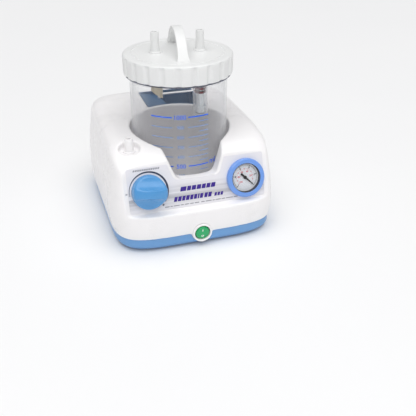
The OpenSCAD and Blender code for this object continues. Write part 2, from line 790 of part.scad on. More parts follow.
module lid_cap() {
    skirt = 3;
    roof = 4;
    color("#e3e4e5") on_lid() difference() {
        union() {
            rotate_extrude($fn = 96) {
                translate([0, -roof]) square([lid_r - 2.5, roof]);
                translate([jar_r + 2.4, -lid_h]) square([lid_r - jar_r - 2.4, lid_h - 2.5]);
                intersection() {
                    translate([lid_r - 2.5, -2.5]) circle(r = 2.5, $fn = 32);
                    translate([0, -2.5]) square([lid_r, 3]);
                }
            }
            for (side = [-1, 1]) translate([side * nozzle_x, 0, 0]) {
                lid_nozzle();
                translate([0, 0, -roof - 8]) cylinder(r = 5, h = 9);
            }
        }
        for (i = [0:scallops - 1]) rotate([0, 0, i * 360 / scallops])
            translate([lid_r + 6.2, 0, -lid_h - 1]) cylinder(r = 7.4, h = lid_h - 3, $fn = 32);
        rotate_extrude($fn = 96) translate([49.4, -0.8]) square([1.4, 2]);
        for (side = [-1, 1]) translate([side * nozzle_x, 0, -40]) cylinder(r = 2.6, h = 80);
    }
}

// Arched strap in the plane between the two nozzles
module lid_handle() {
    strap_w = 10.5;
    strap_t = 3;
    foot_y = 41.7;
    arc_r = (pow(foot_y, 2) + pow(handle_h, 2)) / (2 * handle_h);
    color("#e3e4e5") on_lid() {
        translate([strap_w / 2, 0, 0]) rotate([90, 0, -90]) linear_extrude(strap_w) intersection() {
            translate([0, handle_h - arc_r]) difference() {
                circle(r = arc_r, $fn = 96);
                circle(r = arc_r - strap_t, $fn = 96);
            }
            translate([-60, 0]) square([120, 60]);
        }
    }
}

// Short spout whose lower end is cut off aslant
module patient_spout() {
    color("#d9cfb8") on_lid() translate([-nozzle_x, 0, 0]) difference() {
        translate([0, 0, -52]) cylinder(r = 6.4, h = 48);
        translate([0, 0, -60]) cylinder(r = 5, h = 70);
        translate([0, 10, 0]) rotate([90, 0, 0]) linear_extrude(20)
            polygon([[-8, -60], [-8, -40.8], [7, -51.7], [7, -60]]);
    }
}

cage_foot = 124;

// Clear cage that guides the overflow float
module float_cage() {
    height = lid_top - 4 - cage_foot;
    color("#e4ecf2", 0.4) on_lid() translate([nozzle_x, 0, -4 - height]) difference() {
        cylinder(r = 8.5, h = height);
        translate([0, 0, 1.5]) cylinder(r = 7.2, h = height - 9.5);
        translate([0, 0, height - 9]) cylinder(r = 5, h = 20);
        translate([0, 0, -1]) cylinder(r = 2.5, h = 4);
        for (a = [0, 90]) rotate([0, 0, a]) translate([-2.4, -10, 12]) cube([4.8, 20, 24]);
    }
}

float_z = 125.8;
float_h = 46;

module valve_float() {
    color("#eef2f4") on_lid() translate([nozzle_x, 0, float_z - lid_top]) {
        cylinder(r = 4.5, h = 40);
        translate([0, 0, 40]) cylinder(r1 = 4.5, r2 = 2, h = float_h - 40);
    }
}

module float_rings() {
    color("#7a2833") on_lid() for (z = [150, 154.4]) translate([nozzle_x, 0, z - lid_top]) difference() {
        cylinder(r = 6.6, h = 2.4);
        translate([0, 0, -1]) cylinder(r = 4.5, h = 5);
    }
}

housing_cover();
jar_well();
base_tray();
rubber_feet();
case_screws();
front_label();
grip_insert();
body_nozzle();
nozzle_manifold();
regulator_valve();
gauge_case();
gauge_bezel();
gauge_dial();
gauge_lens();
gauge_movement();
bourdon_tube();
gauge_port();
switch_surround();
switch_body();
inlet_body();
inlet_pins();
inlet_screws();
pump_frame();
pump_grommets();
pump_screws();
motor_can();
motor_stator();
motor_windings();
front_bearing();
rear_bearing();
pump_cylinder();
cylinder_head();
head_screws();
exhaust_silencer();
pump_hose();
regulator_hose();
gauge_hose();
mains_wiring();
regulator_knob();
regulator_spindle();
gauge_needle();
switch_rocker();
motor_shaft();
motor_rotor();
cooling_fan();
crank_disc();
crank_pin();
piston_rod();
piston_seal();
jar();
lid_gasket();
lid_cap();
lid_handle();
patient_spout();
float_cage();
valve_float();
float_rings();
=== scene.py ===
# Looks of a table-top suction pump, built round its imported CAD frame.
# Sizes are millimetres about the jar's upright axis; row() turns them into the frame's metres.

import json
import math

import bmesh
import bpy
import numpy as np
from mathutils import Matrix, Vector


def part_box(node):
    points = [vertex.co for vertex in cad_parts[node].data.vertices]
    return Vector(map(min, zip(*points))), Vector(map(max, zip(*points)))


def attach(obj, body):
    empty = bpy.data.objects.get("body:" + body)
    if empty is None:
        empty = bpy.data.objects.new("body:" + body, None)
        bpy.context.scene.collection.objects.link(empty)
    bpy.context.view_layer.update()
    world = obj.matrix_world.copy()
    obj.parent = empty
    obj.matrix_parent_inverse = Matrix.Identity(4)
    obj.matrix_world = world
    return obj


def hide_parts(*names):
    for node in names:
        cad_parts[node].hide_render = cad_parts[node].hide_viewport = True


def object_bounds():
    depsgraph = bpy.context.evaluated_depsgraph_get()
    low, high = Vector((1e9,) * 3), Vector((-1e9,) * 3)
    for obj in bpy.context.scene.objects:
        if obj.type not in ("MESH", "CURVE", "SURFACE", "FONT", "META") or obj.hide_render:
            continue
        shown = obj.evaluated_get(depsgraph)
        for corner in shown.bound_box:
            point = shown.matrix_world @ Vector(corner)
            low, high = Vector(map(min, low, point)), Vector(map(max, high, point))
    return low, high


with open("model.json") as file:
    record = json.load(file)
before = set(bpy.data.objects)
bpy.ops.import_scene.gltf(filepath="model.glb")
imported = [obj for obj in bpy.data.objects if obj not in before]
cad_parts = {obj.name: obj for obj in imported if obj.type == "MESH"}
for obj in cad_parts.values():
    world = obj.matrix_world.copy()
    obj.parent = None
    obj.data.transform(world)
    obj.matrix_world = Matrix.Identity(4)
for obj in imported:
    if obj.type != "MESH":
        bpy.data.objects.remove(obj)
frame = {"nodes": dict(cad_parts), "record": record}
cad_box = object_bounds()

MM = 0.001
jar_low, jar_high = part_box("jar")
AXIS = np.array([(jar_low.x + jar_high.x) / 2, (jar_low.y + jar_high.y) / 2, 0.0])
TAU = 2 * math.pi

# Sizes that the CAD source gives, in millimetres
HALF_W, FRONT_D, REAR_D, MID_Y = 93.4, 80.5, 138.0, -4.0
FRONT_N, REAR_N = 4.9, 7.5
TOP_Z, SEAM_Z, WALL = 116.2, 17.0, 2.8
SIDE_CURVE = [(0, 0), (-3.5, 0.25), (-0.95, 0.62), (5, 0.93)]
EDGE_CURVE = [(5, 0.93), (7, 0.97), (12, 1), (22, 1)]
PANEL_TILT, PANEL_Y, PANEL_Z = math.radians(15.2), -69.5, 70.0
PANEL_LOW_Z, LIP_Z, PANEL_HALF_W, LABEL_T, DIAL_X = 46.5, 43.5, 81.0, 0.5, 55.0
WELL_R, WELL_FLOOR_Z = 57.0, 20.5
DISH_X, DISH_Y, DISH_Z, DISH_R = -67.0, -39.0, 104.6, 11.5
SWITCH_Y, SWITCH_Z, TAB_R, SURROUND_R, ROCKER_R = -86.0, 18.0, 11.8, 10.0, 8.0
INLET_X, INLET_Y, INLET_Z = 60.0, 136.0, 40.0
POSTS = [(-84, -30), (84, -30), (-84, 80), (84, 80)]
JAR_R, JAR_WALL, JAR_Z, JAR_TOP = 54.0, 2.1, 21.0, 190.0
LID_R, LID_Z, LID_TOP, LID_TURN = 60.0, 176.6, 197.5, math.radians(-7)
SCALLOPS, NOZZLE_X, NOZZLE_H = 22, 24.4, 22.0
HANDLE_FOOT, HANDLE_H, STRAP_W, STRAP_T = 41.7, 26.3, 10.5, 3.0
BEZEL_R, KNOB_R, KNOB_H = 21.9, 18.6, 19.0


# ---------------------------------------------------------------- mesh helpers

def row(points):
    """Millimetres about the jar's axis to metres in the frame."""
    return np.asarray(points, float).reshape(-1, 3) * MM + AXIS


def moved(points, matrix):
    m = np.array(matrix)
    return np.asarray(points, float).reshape(-1, 3) @ m[:3, :3].T + m[:3, 3]


def panel(x=0.0, z=0.0):
    """Local X and Y in the front panel, and local Z out of it."""
    return Matrix.Translation((x, PANEL_Y, PANEL_Z)) @ Matrix.Rotation(math.pi / 2 - PANEL_TILT, 4, "X") \
        @ Matrix.Translation((0, 0, z))


def on_lid(x=0.0, z=0.0):
    turned = Matrix.Rotation(LID_TURN, 4, "Z")
    return Matrix.Translation((0, 0, LID_TOP)) @ turned @ Matrix.Translation((x, 0, z))


def facing_front(x, y, z):
    """Local Z points at -Y."""
    return Matrix.Translation((x, y, z)) @ Matrix.Rotation(math.pi / 2, 4, "X")


def solid(name, points, faces):
    """A mesh object from millimetre points, with doubled points merged and normals outward."""
    mesh = bpy.data.meshes.new(name)
    mesh.from_pydata(row(points).tolist(), [], [tuple(int(i) for i in f) for f in faces])
    bm = bmesh.new()
    bm.from_mesh(mesh)
    bmesh.ops.remove_doubles(bm, verts=bm.verts, dist=2e-6)
    bmesh.ops.recalc_face_normals(bm, faces=bm.faces)
    bm.to_mesh(mesh)
    bm.free()
    obj = bpy.data.objects.new(name, mesh)
    bpy.context.scene.collection.objects.link(obj)
    return obj


def applied(obj):
    """Bakes an object's modifiers into its mesh."""
    graph = bpy.context.evaluated_depsgraph_get()
    mesh = bpy.data.meshes.new_from_object(obj.evaluated_get(graph))
    obj.modifiers.clear()
    old, obj.data = obj.data, mesh
    bpy.data.meshes.remove(old)
    return obj


def carve(target, *cutters, operation="DIFFERENCE"):
    for cutter in cutters:
        change = target.modifiers.new("carve", "BOOLEAN")
        change.operation, change.solver, change.object = operation, "MANIFOLD", cutter
        applied(target)
        bpy.data.objects.remove(cutter)
    return target


def join_in(target, *others):
    return carve(target, *others, operation="UNION")


def show(obj, material, body, replaces=(), sharp=38.0):
    """Smooth shading with crisp edges above an angle, a material, and a ride on a CAD body."""
    mesh = obj.data
    mesh.materials.clear()
    mesh.materials.append(material)
    mesh.polygons.foreach_set("material_index", np.zeros(len(mesh.polygons), np.int32))
    mesh.shade_smooth()
    mesh.set_sharp_from_angle(angle=math.radians(sharp))
    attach(obj, body)
    if replaces:
        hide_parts(*replaces)
    return obj


def rounded(corners, steps=5, closed=True):
    """Turns (x, y, radius) corners into a smooth outline."""
    out, n = [], len(corners)
    for i, (x, y, radius) in enumerate(corners):
        if radius <= 0 or (not closed and i in (0, n - 1)):
            out.append((x, y))
            continue
        p = np.array([x, y])
        a = np.array(corners[i - 1][:2]) - p
        b = np.array(corners[(i + 1) % n][:2]) - p
        la, lb = np.linalg.norm(a), np.linalg.norm(b)
        half = math.acos(np.clip(a @ b / la / lb, -1, 1)) / 2
        cut = min(radius / math.tan(half), 0.49 * la, 0.49 * lb)
        for t in np.linspace(0, 1, steps + 1):
            out.append(tuple(p + a / la * cut * (1 - t) ** 2 + b / lb * cut * t ** 2))
    return out


def circle(radius, count=64, start=0.0):
    return [(radius * math.cos(start + TAU * i / count), radius * math.sin(start + TAU * i / count))
            for i in range(count)]


def lathe(name, profile, matrix=Matrix.Identity(4), segments=96, closed=True):
    """A profile of (radius, height) turned about the local Z; an open one starts and ends on the axis."""
    n = len(profile)
    angle = np.arange(segments) * TAU / segments
    r, z = np.array(profile, float).T
    points = np.stack([np.outer(np.cos(angle), r), np.outer(np.sin(angle), r),
                       np.tile(z, (segments, 1))], -1).reshape(-1, 3)
    faces = [(i * n + k, i * n + (k + 1) % n, (i + 1) % segments * n + (k + 1) % n,
              (i + 1) % segments * n + k)
             for i in range(segments) for k in range(n if closed else n - 1)]
    return solid(name, moved(points, matrix), faces)


def disc(name, radius, low, high, matrix=Matrix.Identity(4), segments=64):
    return lathe(name, [(0, low), (radius, low), (radius, high), (0, high)], matrix, segments, closed=False)


def prism(name, outline, low, high, matrix=Matrix.Identity(4)):
    n = len(outline)
    points = [(x, y, low) for x, y in outline] + [(x, y, high) for x, y in outline]
    faces = [tuple(range(n))[::-1], tuple(range(n, 2 * n))]
    faces += [(i, (i + 1) % n, n + (i + 1) % n, n + i) for i in range(n)]
    return solid(name, moved(points, matrix), faces)


def block(name, low, high, matrix=Matrix.Identity(4), radius=0.0):
    """A box between two corners, with its upright edges rounded."""
    (x0, y0, z0), (x1, y1, z1) = low, high
    outline = rounded([(x0, y0, radius), (x1, y0, radius), (x1, y1, radius), (x0, y1, radius)])
    return prism(name, outline, z0, z1, matrix)


def rings_solid(name, rings, bottom, top):
    """A closed skin over stacked rings of points, closed by a fan at each end."""
    n = len(rings[0])
    points = np.concatenate([np.concatenate(rings), [bottom, top]])
    faces = [(r * n + i, r * n + (i + 1) % n, (r + 1) * n + (i + 1) % n, (r + 1) * n + i)
             for r in range(len(rings) - 1) for i in range(n)]
    last = (len(rings) - 1) * n
    faces += [(len(points) - 2, (i + 1) % n, i) for i in range(n)]
    faces += [(len(points) - 1, last + i, last + (i + 1) % n) for i in range(n)]
    return solid(name, points, faces)


def relax(obj, rounds, share=0.5):
    """Evens a remeshed surface out, which rounds its edges a little."""
    mesh = obj.data
    count = len(mesh.vertices)
    co = np.empty(count * 3)
    mesh.vertices.foreach_get("co", co)
    co = co.reshape(-1, 3)
    ends = np.empty(len(mesh.edges) * 2, np.int32)
    mesh.edges.foreach_get("vertices", ends)
    a, b = ends.reshape(-1, 2).T
    degree = np.bincount(ends, minlength=count)[:, None]
    for _ in range(rounds):
        total = np.stack([np.bincount(a, co[b, k], count) + np.bincount(b, co[a, k], count)
                          for k in range(3)], -1)
        co += share * (total / degree - co)
    mesh.vertices.foreach_set("co", co.ravel())
    mesh.update()


def glyphs(name, text, height, bold=0.0, depth=0.04):
    """Millimetre points and faces of plain figures, centred on the local origin."""
    curve = bpy.data.curves.new(name, "FONT")
    curve.body, curve.size, curve.extrude, curve.offset = text, height / 0.7, depth / 2, bold
    curve.align_x, curve.align_y, curve.resolution_u = "CENTER", "CENTER", 3
    obj = bpy.data.objects.new(name, curve)
    bpy.context.scene.collection.objects.link(obj)
    bpy.context.view_layer.update()
    mesh = bpy.data.meshes.new_from_object(obj.evaluated_get(bpy.context.evaluated_depsgraph_get()))
    points = np.array([v.co[:] for v in mesh.vertices])
    faces = [tuple(p.vertices) for p in mesh.polygons]
    bpy.data.objects.remove(obj)
    bpy.data.curves.remove(curve)
    bpy.data.meshes.remove(mesh)
    points[:, :2] -= (points[:, :2].min(0) + points[:, :2].max(0)) / 2
    return points, faces


def gathered(name, parts):
    """One object from several (points, faces) parts."""
    points, faces, start = [], [], 0
    for p, f in parts:
        points.append(np.asarray(p, float))
        faces += [tuple(i + start for i in face) for face in f]
        start += len(p)
    return solid(name, np.concatenate(points), faces)


def slab(outline, low, high):
    """Points and faces of a thin flat shape."""
    n = len(outline)
    points = [(x, y, low) for x, y in outline] + [(x, y, high) for x, y in outline]
    faces = [tuple(range(n))[::-1], tuple(range(n, 2 * n))]
    return np.array(points), faces + [(i, (i + 1) % n, n + (i + 1) % n, n + i) for i in range(n)]


# ---------------------------------------------------------------- materials

class Nodes:
    """Short words for building a material's node tree."""

    def __init__(self, name):
        self.material = bpy.data.materials.new(name)
        self.material.use_nodes = True
        self.tree = self.material.node_tree
        self.tree.nodes.clear()
        self.output = self.tree.nodes.new("ShaderNodeOutputMaterial")
        self.where = self.tree.nodes.new("ShaderNodeTexCoord").outputs["Object"]

    def add(self, kind, **settings):
        node = self.tree.nodes.new(kind)
        for key, value in settings.items():
            if hasattr(node, key):
                setattr(node, key, value)
            else:
                self.put(node.inputs[key.replace("_", " ")], value)
        return node

    def put(self, socket, value):
        if isinstance(value, bpy.types.NodeSocket):
            self.tree.links.new(value, socket)
        else:
            socket.default_value = value

    def stretched(self, scale):
        return self.add("ShaderNodeMapping", Vector=self.where, Scale=scale).outputs["Vector"]

    def noise(self, scale, detail=3.0, vector=None):
        return self.add("ShaderNodeTexNoise", Vector=vector or self.where, Scale=scale, Detail=detail) \
            .outputs["Fac"]

    def span(self, value, low, high, start=0.3, end=0.7):
        return self.add("ShaderNodeMapRange", Value=value, From_Min=start, From_Max=end,
                        To_Min=low, To_Max=high).outputs["Result"]

    def math(self, operation, a, b=0.0):
        node = self.tree.nodes.new("ShaderNodeMath")
        node.operation = operation
        self.put(node.inputs[0], a)
        self.put(node.inputs[1], b)
        return node.outputs[0]

    def mix(self, fac, a, b):
        node = self.tree.nodes.new("ShaderNodeMix")
        node.data_type = "RGBA"
        self.put(node.inputs["Factor"], fac)
        self.put(node.inputs[6], a)
        self.put(node.inputs[7], b)
        return node.outputs[2]

    def bump(self, height, distance, strength=1.0, normal=None):
        node = self.add("ShaderNodeBump", Height=height, Distance=distance, Strength=strength)
        if normal is not None:
            self.put(node.inputs["Normal"], normal)
        return node.outputs["Normal"]

    def end(self, shader):
        self.tree.links.new(shader, self.output.inputs["Surface"])
        return self.material


def shade(colour, factor):
    return tuple(min(1.0, c * factor) for c in colour[:3]) + (1.0,)


def plastic(name, colour, rough=0.32, mottle=0.03, texture=0.012, texture_size=0.55, coat=0.0,
            translucent=0.0,
            lets_through=0.0):
    """Moulded plastic: slow shade changes, a fine moulded texture and patches of gloss."""
    n = Nodes(name)
    cloud = n.noise(28, 2)
    grain = n.noise(1.0 / (texture_size * MM), 2)
    colours = n.mix(n.span(cloud, 0, 1), shade(colour, 1 - mottle), shade(colour, 1 + mottle))
    colours = n.mix(n.span(grain, 0, 0.5, 0.35, 0.75), colours, shade(colour, 1 - 1.5 * mottle))
    gloss = n.math("ADD", n.span(cloud, rough - 0.04, rough + 0.04), n.span(grain, -0.03, 0.03))
    bsdf = n.add("ShaderNodeBsdfPrincipled", Base_Color=colours, Roughness=gloss,
                 Normal=n.bump(grain, texture * MM))
    bsdf.inputs["IOR"].default_value = 1.5
    bsdf.inputs["Coat Weight"].default_value = coat
    bsdf.inputs["Coat Roughness"].default_value = 0.12
    if translucent:
        bsdf.inputs["Subsurface Weight"].default_value = translucent
        bsdf.inputs["Subsurface Radius"].default_value = (0.004, 0.004, 0.0045)
        bsdf.inputs["Subsurface Scale"].default_value = 1.0
    if not lets_through:
        return n.end(bsdf.outputs[0])
    through = n.add("ShaderNodeBsdfTranslucent", Color=colours)
    blend = n.add("ShaderNodeMixShader")
    blend.inputs[0].default_value = lets_through
    n.put(blend.inputs[1], bsdf.outputs[0])
    n.put(blend.inputs[2], through.outputs[0])
    return n.end(blend.outputs[0])


def rubber(name, colour, rough=0.72):
    n = Nodes(name)
    grain = n.noise(900, 4)
    dust = n.noise(60, 3)
    colours = n.mix(n.span(dust, 0, 1, 0.45, 0.8), shade(colour, 0.92), shade(colour, 1.12))
    bsdf = n.add("ShaderNodeBsdfPrincipled", Base_Color=colours,
                 Roughness=n.span(dust, rough - 0.08, rough + 0.08),
                 Normal=n.bump(grain, 0.05 * MM))
    return n.end(bsdf.outputs[0])


def metal(name, colour, rough=0.34, streaks=(1, 1, 1), grain_size=0.4, pits=0.01):
    """Machined or cast metal, whose grain runs along the axis with the smallest scale."""
    n = Nodes(name)
    grain = n.noise(1.0 / (grain_size * MM), 4, n.stretched(streaks))
    stain = n.noise(45, 3)
    colours = n.mix(n.span(stain, 0, 1), shade(colour, 0.88), shade(colour, 1.06))
    gloss = n.math("ADD", n.span(grain, rough - 0.07, rough + 0.09), n.span(stain, -0.04, 0.05))
    bsdf = n.add("ShaderNodeBsdfPrincipled", Base_Color=colours, Roughness=gloss,
                 Normal=n.bump(grain, pits * MM))
    bsdf.inputs["Metallic"].default_value = 1.0
    return n.end(bsdf.outputs[0])


def clear(name, tint, haze, rough=0.06, edge=0.75, body=(0.93, 0.94, 0.96, 1)):
    """Clear moulded plastic: what lies behind shows through, with gloss that grows at glancing angles."""
    n = Nodes(name)
    wave = n.noise(22, 2)
    behind = n.add("ShaderNodeBsdfTransparent")
    behind.inputs["Color"].default_value = tint
    skin = n.add("ShaderNodeBsdfPrincipled", Roughness=n.span(wave, rough * 0.7, rough * 1.5),
                 Normal=n.bump(wave, 0.25 * MM))
    skin.inputs["Base Color"].default_value = body
    skin.inputs["Specular IOR Level"].default_value = 0.7
    glance = n.add("ShaderNodeLayerWeight")
    glance.inputs["Blend"].default_value = 0.5
    gloss = n.math("MULTIPLY", n.math("POWER", glance.outputs["Facing"], 3.0), edge)
    fac = n.math("ADD", n.math("ADD", gloss, haze), n.span(wave, -0.01, 0.01))
    blend = n.add("ShaderNodeMixShader")
    n.put(blend.inputs[0], fac)
    n.put(blend.inputs[1], behind.outputs[0])
    n.put(blend.inputs[2], skin.outputs[0])
    return n.end(blend.outputs[0])


def ink(name, colour, rough=0.45):
    """Screen-printed ink with slightly uneven cover."""
    n = Nodes(name)
    cover = n.noise(700, 3)
    colours = n.mix(n.span(cover, 0, 0.6), shade(colour, 1.0), shade(colour, 1.25))
    bsdf = n.add("ShaderNodeBsdfPrincipled", Base_Color=colours,
                 Roughness=n.span(cover, rough - 0.08, rough + 0.08))
    return n.end(bsdf.outputs[0])


def label_film(name):
    """Lilac-grey film with soft silver brush strokes that run across it between the two dials."""
    n = Nodes(name)
    height = n.add("ShaderNodeSeparateXYZ", Vector=n.where).outputs["Z"]
    strokes = n.noise(1.0, 2, n.stretched((7, 7, 260)))
    middle = (PANEL_Z - 7.5) * MM
    away = n.math("ABSOLUTE", n.math("SUBTRACT", height, middle))
    band = n.span(away, 1, 0, 4 * MM, 14 * MM)
    fac = n.math("MULTIPLY", band, n.span(strokes, 0.0, 0.9, 0.36, 0.68))
    colours = n.mix(fac, (0.80, 0.790, 0.825, 1), (0.44, 0.44, 0.47, 1))
    fine = n.noise(1500, 2)
    bsdf = n.add("ShaderNodeBsdfPrincipled", Base_Color=colours, Roughness=n.span(fine, 0.36, 0.46),
                 Normal=n.bump(fine, 0.006 * MM))
    return n.end(bsdf.outputs[0])


LOOKS = {
    "gloss_plastic": lambda name, c: plastic(name, c),
    "matte_plastic": lambda name, c: plastic(name, c, rough=0.55, texture=0.03, texture_size=0.3),
    "rubber": lambda name, c: rubber(name, c),
    "glass": lambda name, c: clear(name, (0.97, 0.98, 0.985, 1), 0.03),
    "brushed_steel": lambda name, c: metal(name, c, 0.3, (1, 1, 12)),
    "painted_metal": lambda name, c: metal(name, c, 0.42, (0.1, 1, 1)),
    "aluminium": lambda name, c: metal(name, c, 0.5, grain_size=0.9, pits=0.04),
    "cast_iron": lambda name, c: metal(name, c, 0.55, (14, 1, 1), pits=0.03),
    "brass": lambda name, c: metal(name, c, 0.28, (1, 1, 8)),
    "chrome": lambda name, c: metal(name, c, 0.18, (1, 1, 6), pits=0.003),
}
finish = {}
for m in frame["record"]["materials"]:
    finish[m["slot"]] = LOOKS[m["class"]]("finish_" + m["slot"], m["base_color"])
finish["cover_plastic"] = plastic("finish_cover", (0.915, 0.900, 0.905), rough=0.3, mottle=0.012,
                                  texture=0.006, texture_size=0.8, coat=0.15, translucent=0.05)
finish["blue_plastic"] = plastic("finish_base", (0.150, 0.345, 0.655), rough=0.36, mottle=0.03, texture=0.012)
# The grip tub's blue is the base's blue darkened about threefold: painted shade that stands in for the shade
# deep in the pocket behind the jar.
finish["grip_plastic"] = plastic("finish_grip", (0.036, 0.115, 0.235), rough=0.4, mottle=0.03, texture=0.012)
finish["knob_plastic"] = plastic("finish_knob", (0.085, 0.310, 0.640), rough=0.27, mottle=0.035, coat=0.15)
finish["bezel_plastic"] = plastic("finish_bezel", (0.165, 0.335, 0.790), rough=0.28, mottle=0.02, coat=0.2)
finish["label_film"] = label_film("finish_label")
finish["lid_plastic"] = plastic("finish_lid", (0.925, 0.93, 0.925), rough=0.4, mottle=0.012, texture=0.01,
                                lets_through=0.16)
finish["nozzle_plastic"] = plastic("finish_nozzle", (0.82, 0.82, 0.82), rough=0.38, translucent=0.15)
finish["spout_plastic"] = plastic("finish_spout", (0.58, 0.52, 0.40), rough=0.5, mottle=0.05, translucent=0.1)
finish["jar_clear"] = clear("finish_jar", (0.993, 0.993, 0.995, 1), 0.028, edge=0.7)
finish["cage_clear"] = clear("finish_cage", (0.95, 0.955, 0.96, 1), 0.14, edge=0.8)
finish["clear_lens"] = clear("finish_lens", (0.98, 0.985, 0.99, 1), 0.02)
finish["switch_green"] = plastic("finish_rocker", (0.003, 0.385, 0.115), rough=0.25, mottle=0.06, coat=0.3)
bold_ink = ink("ink_bold", (0.006, 0.130, 0.800))
thin_ink = ink("ink_thin", (0.150, 0.290, 0.640))
indigo_ink = ink("ink_indigo", (0.035, 0.012, 0.230))
slate_ink = ink("ink_slate", (0.022, 0.032, 0.065))
grey_ink = ink("ink_grey", (0.30, 0.30, 0.33))
black_ink = ink("ink_black", (0.02, 0.02, 0.022))
red_ink = ink("ink_red", (0.62, 0.05, 0.08))
white_ink = ink("ink_white", (0.86, 0.90, 0.87))

for part in frame["record"]["subparts"]:
    node = frame["nodes"][part["node"]]
    node.data.materials.clear()
    node.data.materials.append(finish[part["material_slot"]])


# ---------------------------------------------------------------- housing

def bezier(p, t):
    return (1 - t) ** 3 * p[0] + 3 * (1 - t) ** 2 * t * p[1] + 3 * (1 - t) * t * t * p[2] + t ** 3 * p[3]


def crown_z(x, y):
    drop = 17 * np.exp((-62 - np.maximum(y, -70)) / 19)
    return TOP_Z + 0.01 * y - drop - 1.5 * (x / 90) ** 2


def plan_ring(inset, count=240):
    """Points evenly spaced round the housing's outline, drawn in by an inset."""
    angle = np.linspace(0, TAU, 12001)
    c, s = np.cos(angle), np.sin(angle)
    power = np.where(s < 0, 2 / FRONT_N, 2 / REAR_N)
    depth = np.where(s < 0, FRONT_D, REAR_D) - inset
    x = (HALF_W - inset) * np.sign(c) * np.abs(c) ** power
    y = MID_Y + depth * np.sign(s) * np.abs(s) ** power
    far = np.concatenate([[0], np.cumsum(np.hypot(np.diff(x), np.diff(y)))])
    at = np.linspace(0, far[-1], count, endpoint=False)
    return np.interp(at, far, x), np.interp(at, far, y)


def housing_form(name, inset, low):
    side = [tuple(bezier(np.array(SIDE_CURVE), t)) for t in np.linspace(0, 1, 19)]
    edge = [tuple(bezier(np.array(EDGE_CURVE), t)) for t in np.linspace(0, 1, 13)[1:]]
    crown = [(i, 1.0) for i in np.arange(25, 78, 4)]
    rings = []
    for drawn_in, rise in side + edge + crown:
        x, y = plan_ring(drawn_in + inset)
        rings.append(np.stack([x, y, low + (crown_z(x, y) - inset - low) * rise], -1))
    top_y = MID_Y + 30
    return rings_solid(name, rings, (0, MID_Y, low), (0, top_y, crown_z(0, top_y) - inset))


def recess(name, grow):
    """The space in front of the tilted panel, grown backwards and downwards by a wall."""
    slope, high = math.tan(PANEL_TILT), 140
    back = PANEL_Y - (PANEL_Z - PANEL_LOW_Z) * slope + grow / math.cos(PANEL_TILT)
    outline = [(back - grow * slope, PANEL_LOW_Z - grow), (-120, LIP_Z - grow), (-120, high),
               (back + (high - PANEL_LOW_Z) * slope, high)]
    upright = Matrix(((0, 0, 1, 0), (1, 0, 0, 0), (0, 1, 0, 0), (0, 0, 0, 1)))
    return prism(name, outline, -PANEL_HALF_W - grow, PANEL_HALF_W + grow, upright)


def window(name, grow):
    """The U-shaped window in the front wall."""
    half = [(21.5, 77, 9), (27.3, 91, 20), (34, 109, 25), (46, 132, 0)]
    outline = [(x + grow, z - (grow if i == 0 else 0), r + (grow if i == 0 else 0)) for i,
               (x, z, r) in enumerate(half)]
    outline += [(-x, z, r) for x, z, r in reversed(outline)]
    return prism(name, rounded(outline, 10), 20, 110, Matrix.Rotation(math.pi / 2, 4, "X"))


GRIP_LEFT, GRIP_RIGHT, GRIP_BACK, GRIP_FRONT_R, GRIP_Z = -23.0, 46.0, 115.8, 61.8, 93.0
BAR_LEFT, BAR_LOW, BAR_HIGH, BAR_Z, BAR_FOOT, BAR_FOOT_Z = -1.0, 99.5, 104.0, 109.0, 4.5, 106.0
RAMP_END, RAMP_LOW_Z = 5.0, 110.0


def grip_plan(skin):
    """Plan of the hand grip between the well's rim and the back."""
    radius = GRIP_FRONT_R + skin
    left, right, back = GRIP_LEFT + skin, GRIP_RIGHT - skin, GRIP_BACK - skin
    arc = np.linspace(math.acos(right / radius), math.acos(left / radius), 24)
    front = [(radius * math.cos(a), radius * math.sin(a), 0) for a in arc]
    return rounded([*front, (left, back, 4), (right, back, 4)])


def grip_cutter():
    bar = block("bar", (BAR_LEFT, BAR_LOW, BAR_Z), (GRIP_RIGHT + 2, BAR_HIGH, 160))
    return carve(prism("grip", grip_plan(0), GRIP_Z - 1, 150), bar)


def switch_bore(radius):
    return disc("bore", radius, -60, 30, facing_front(0, SWITCH_Y, SWITCH_Z))


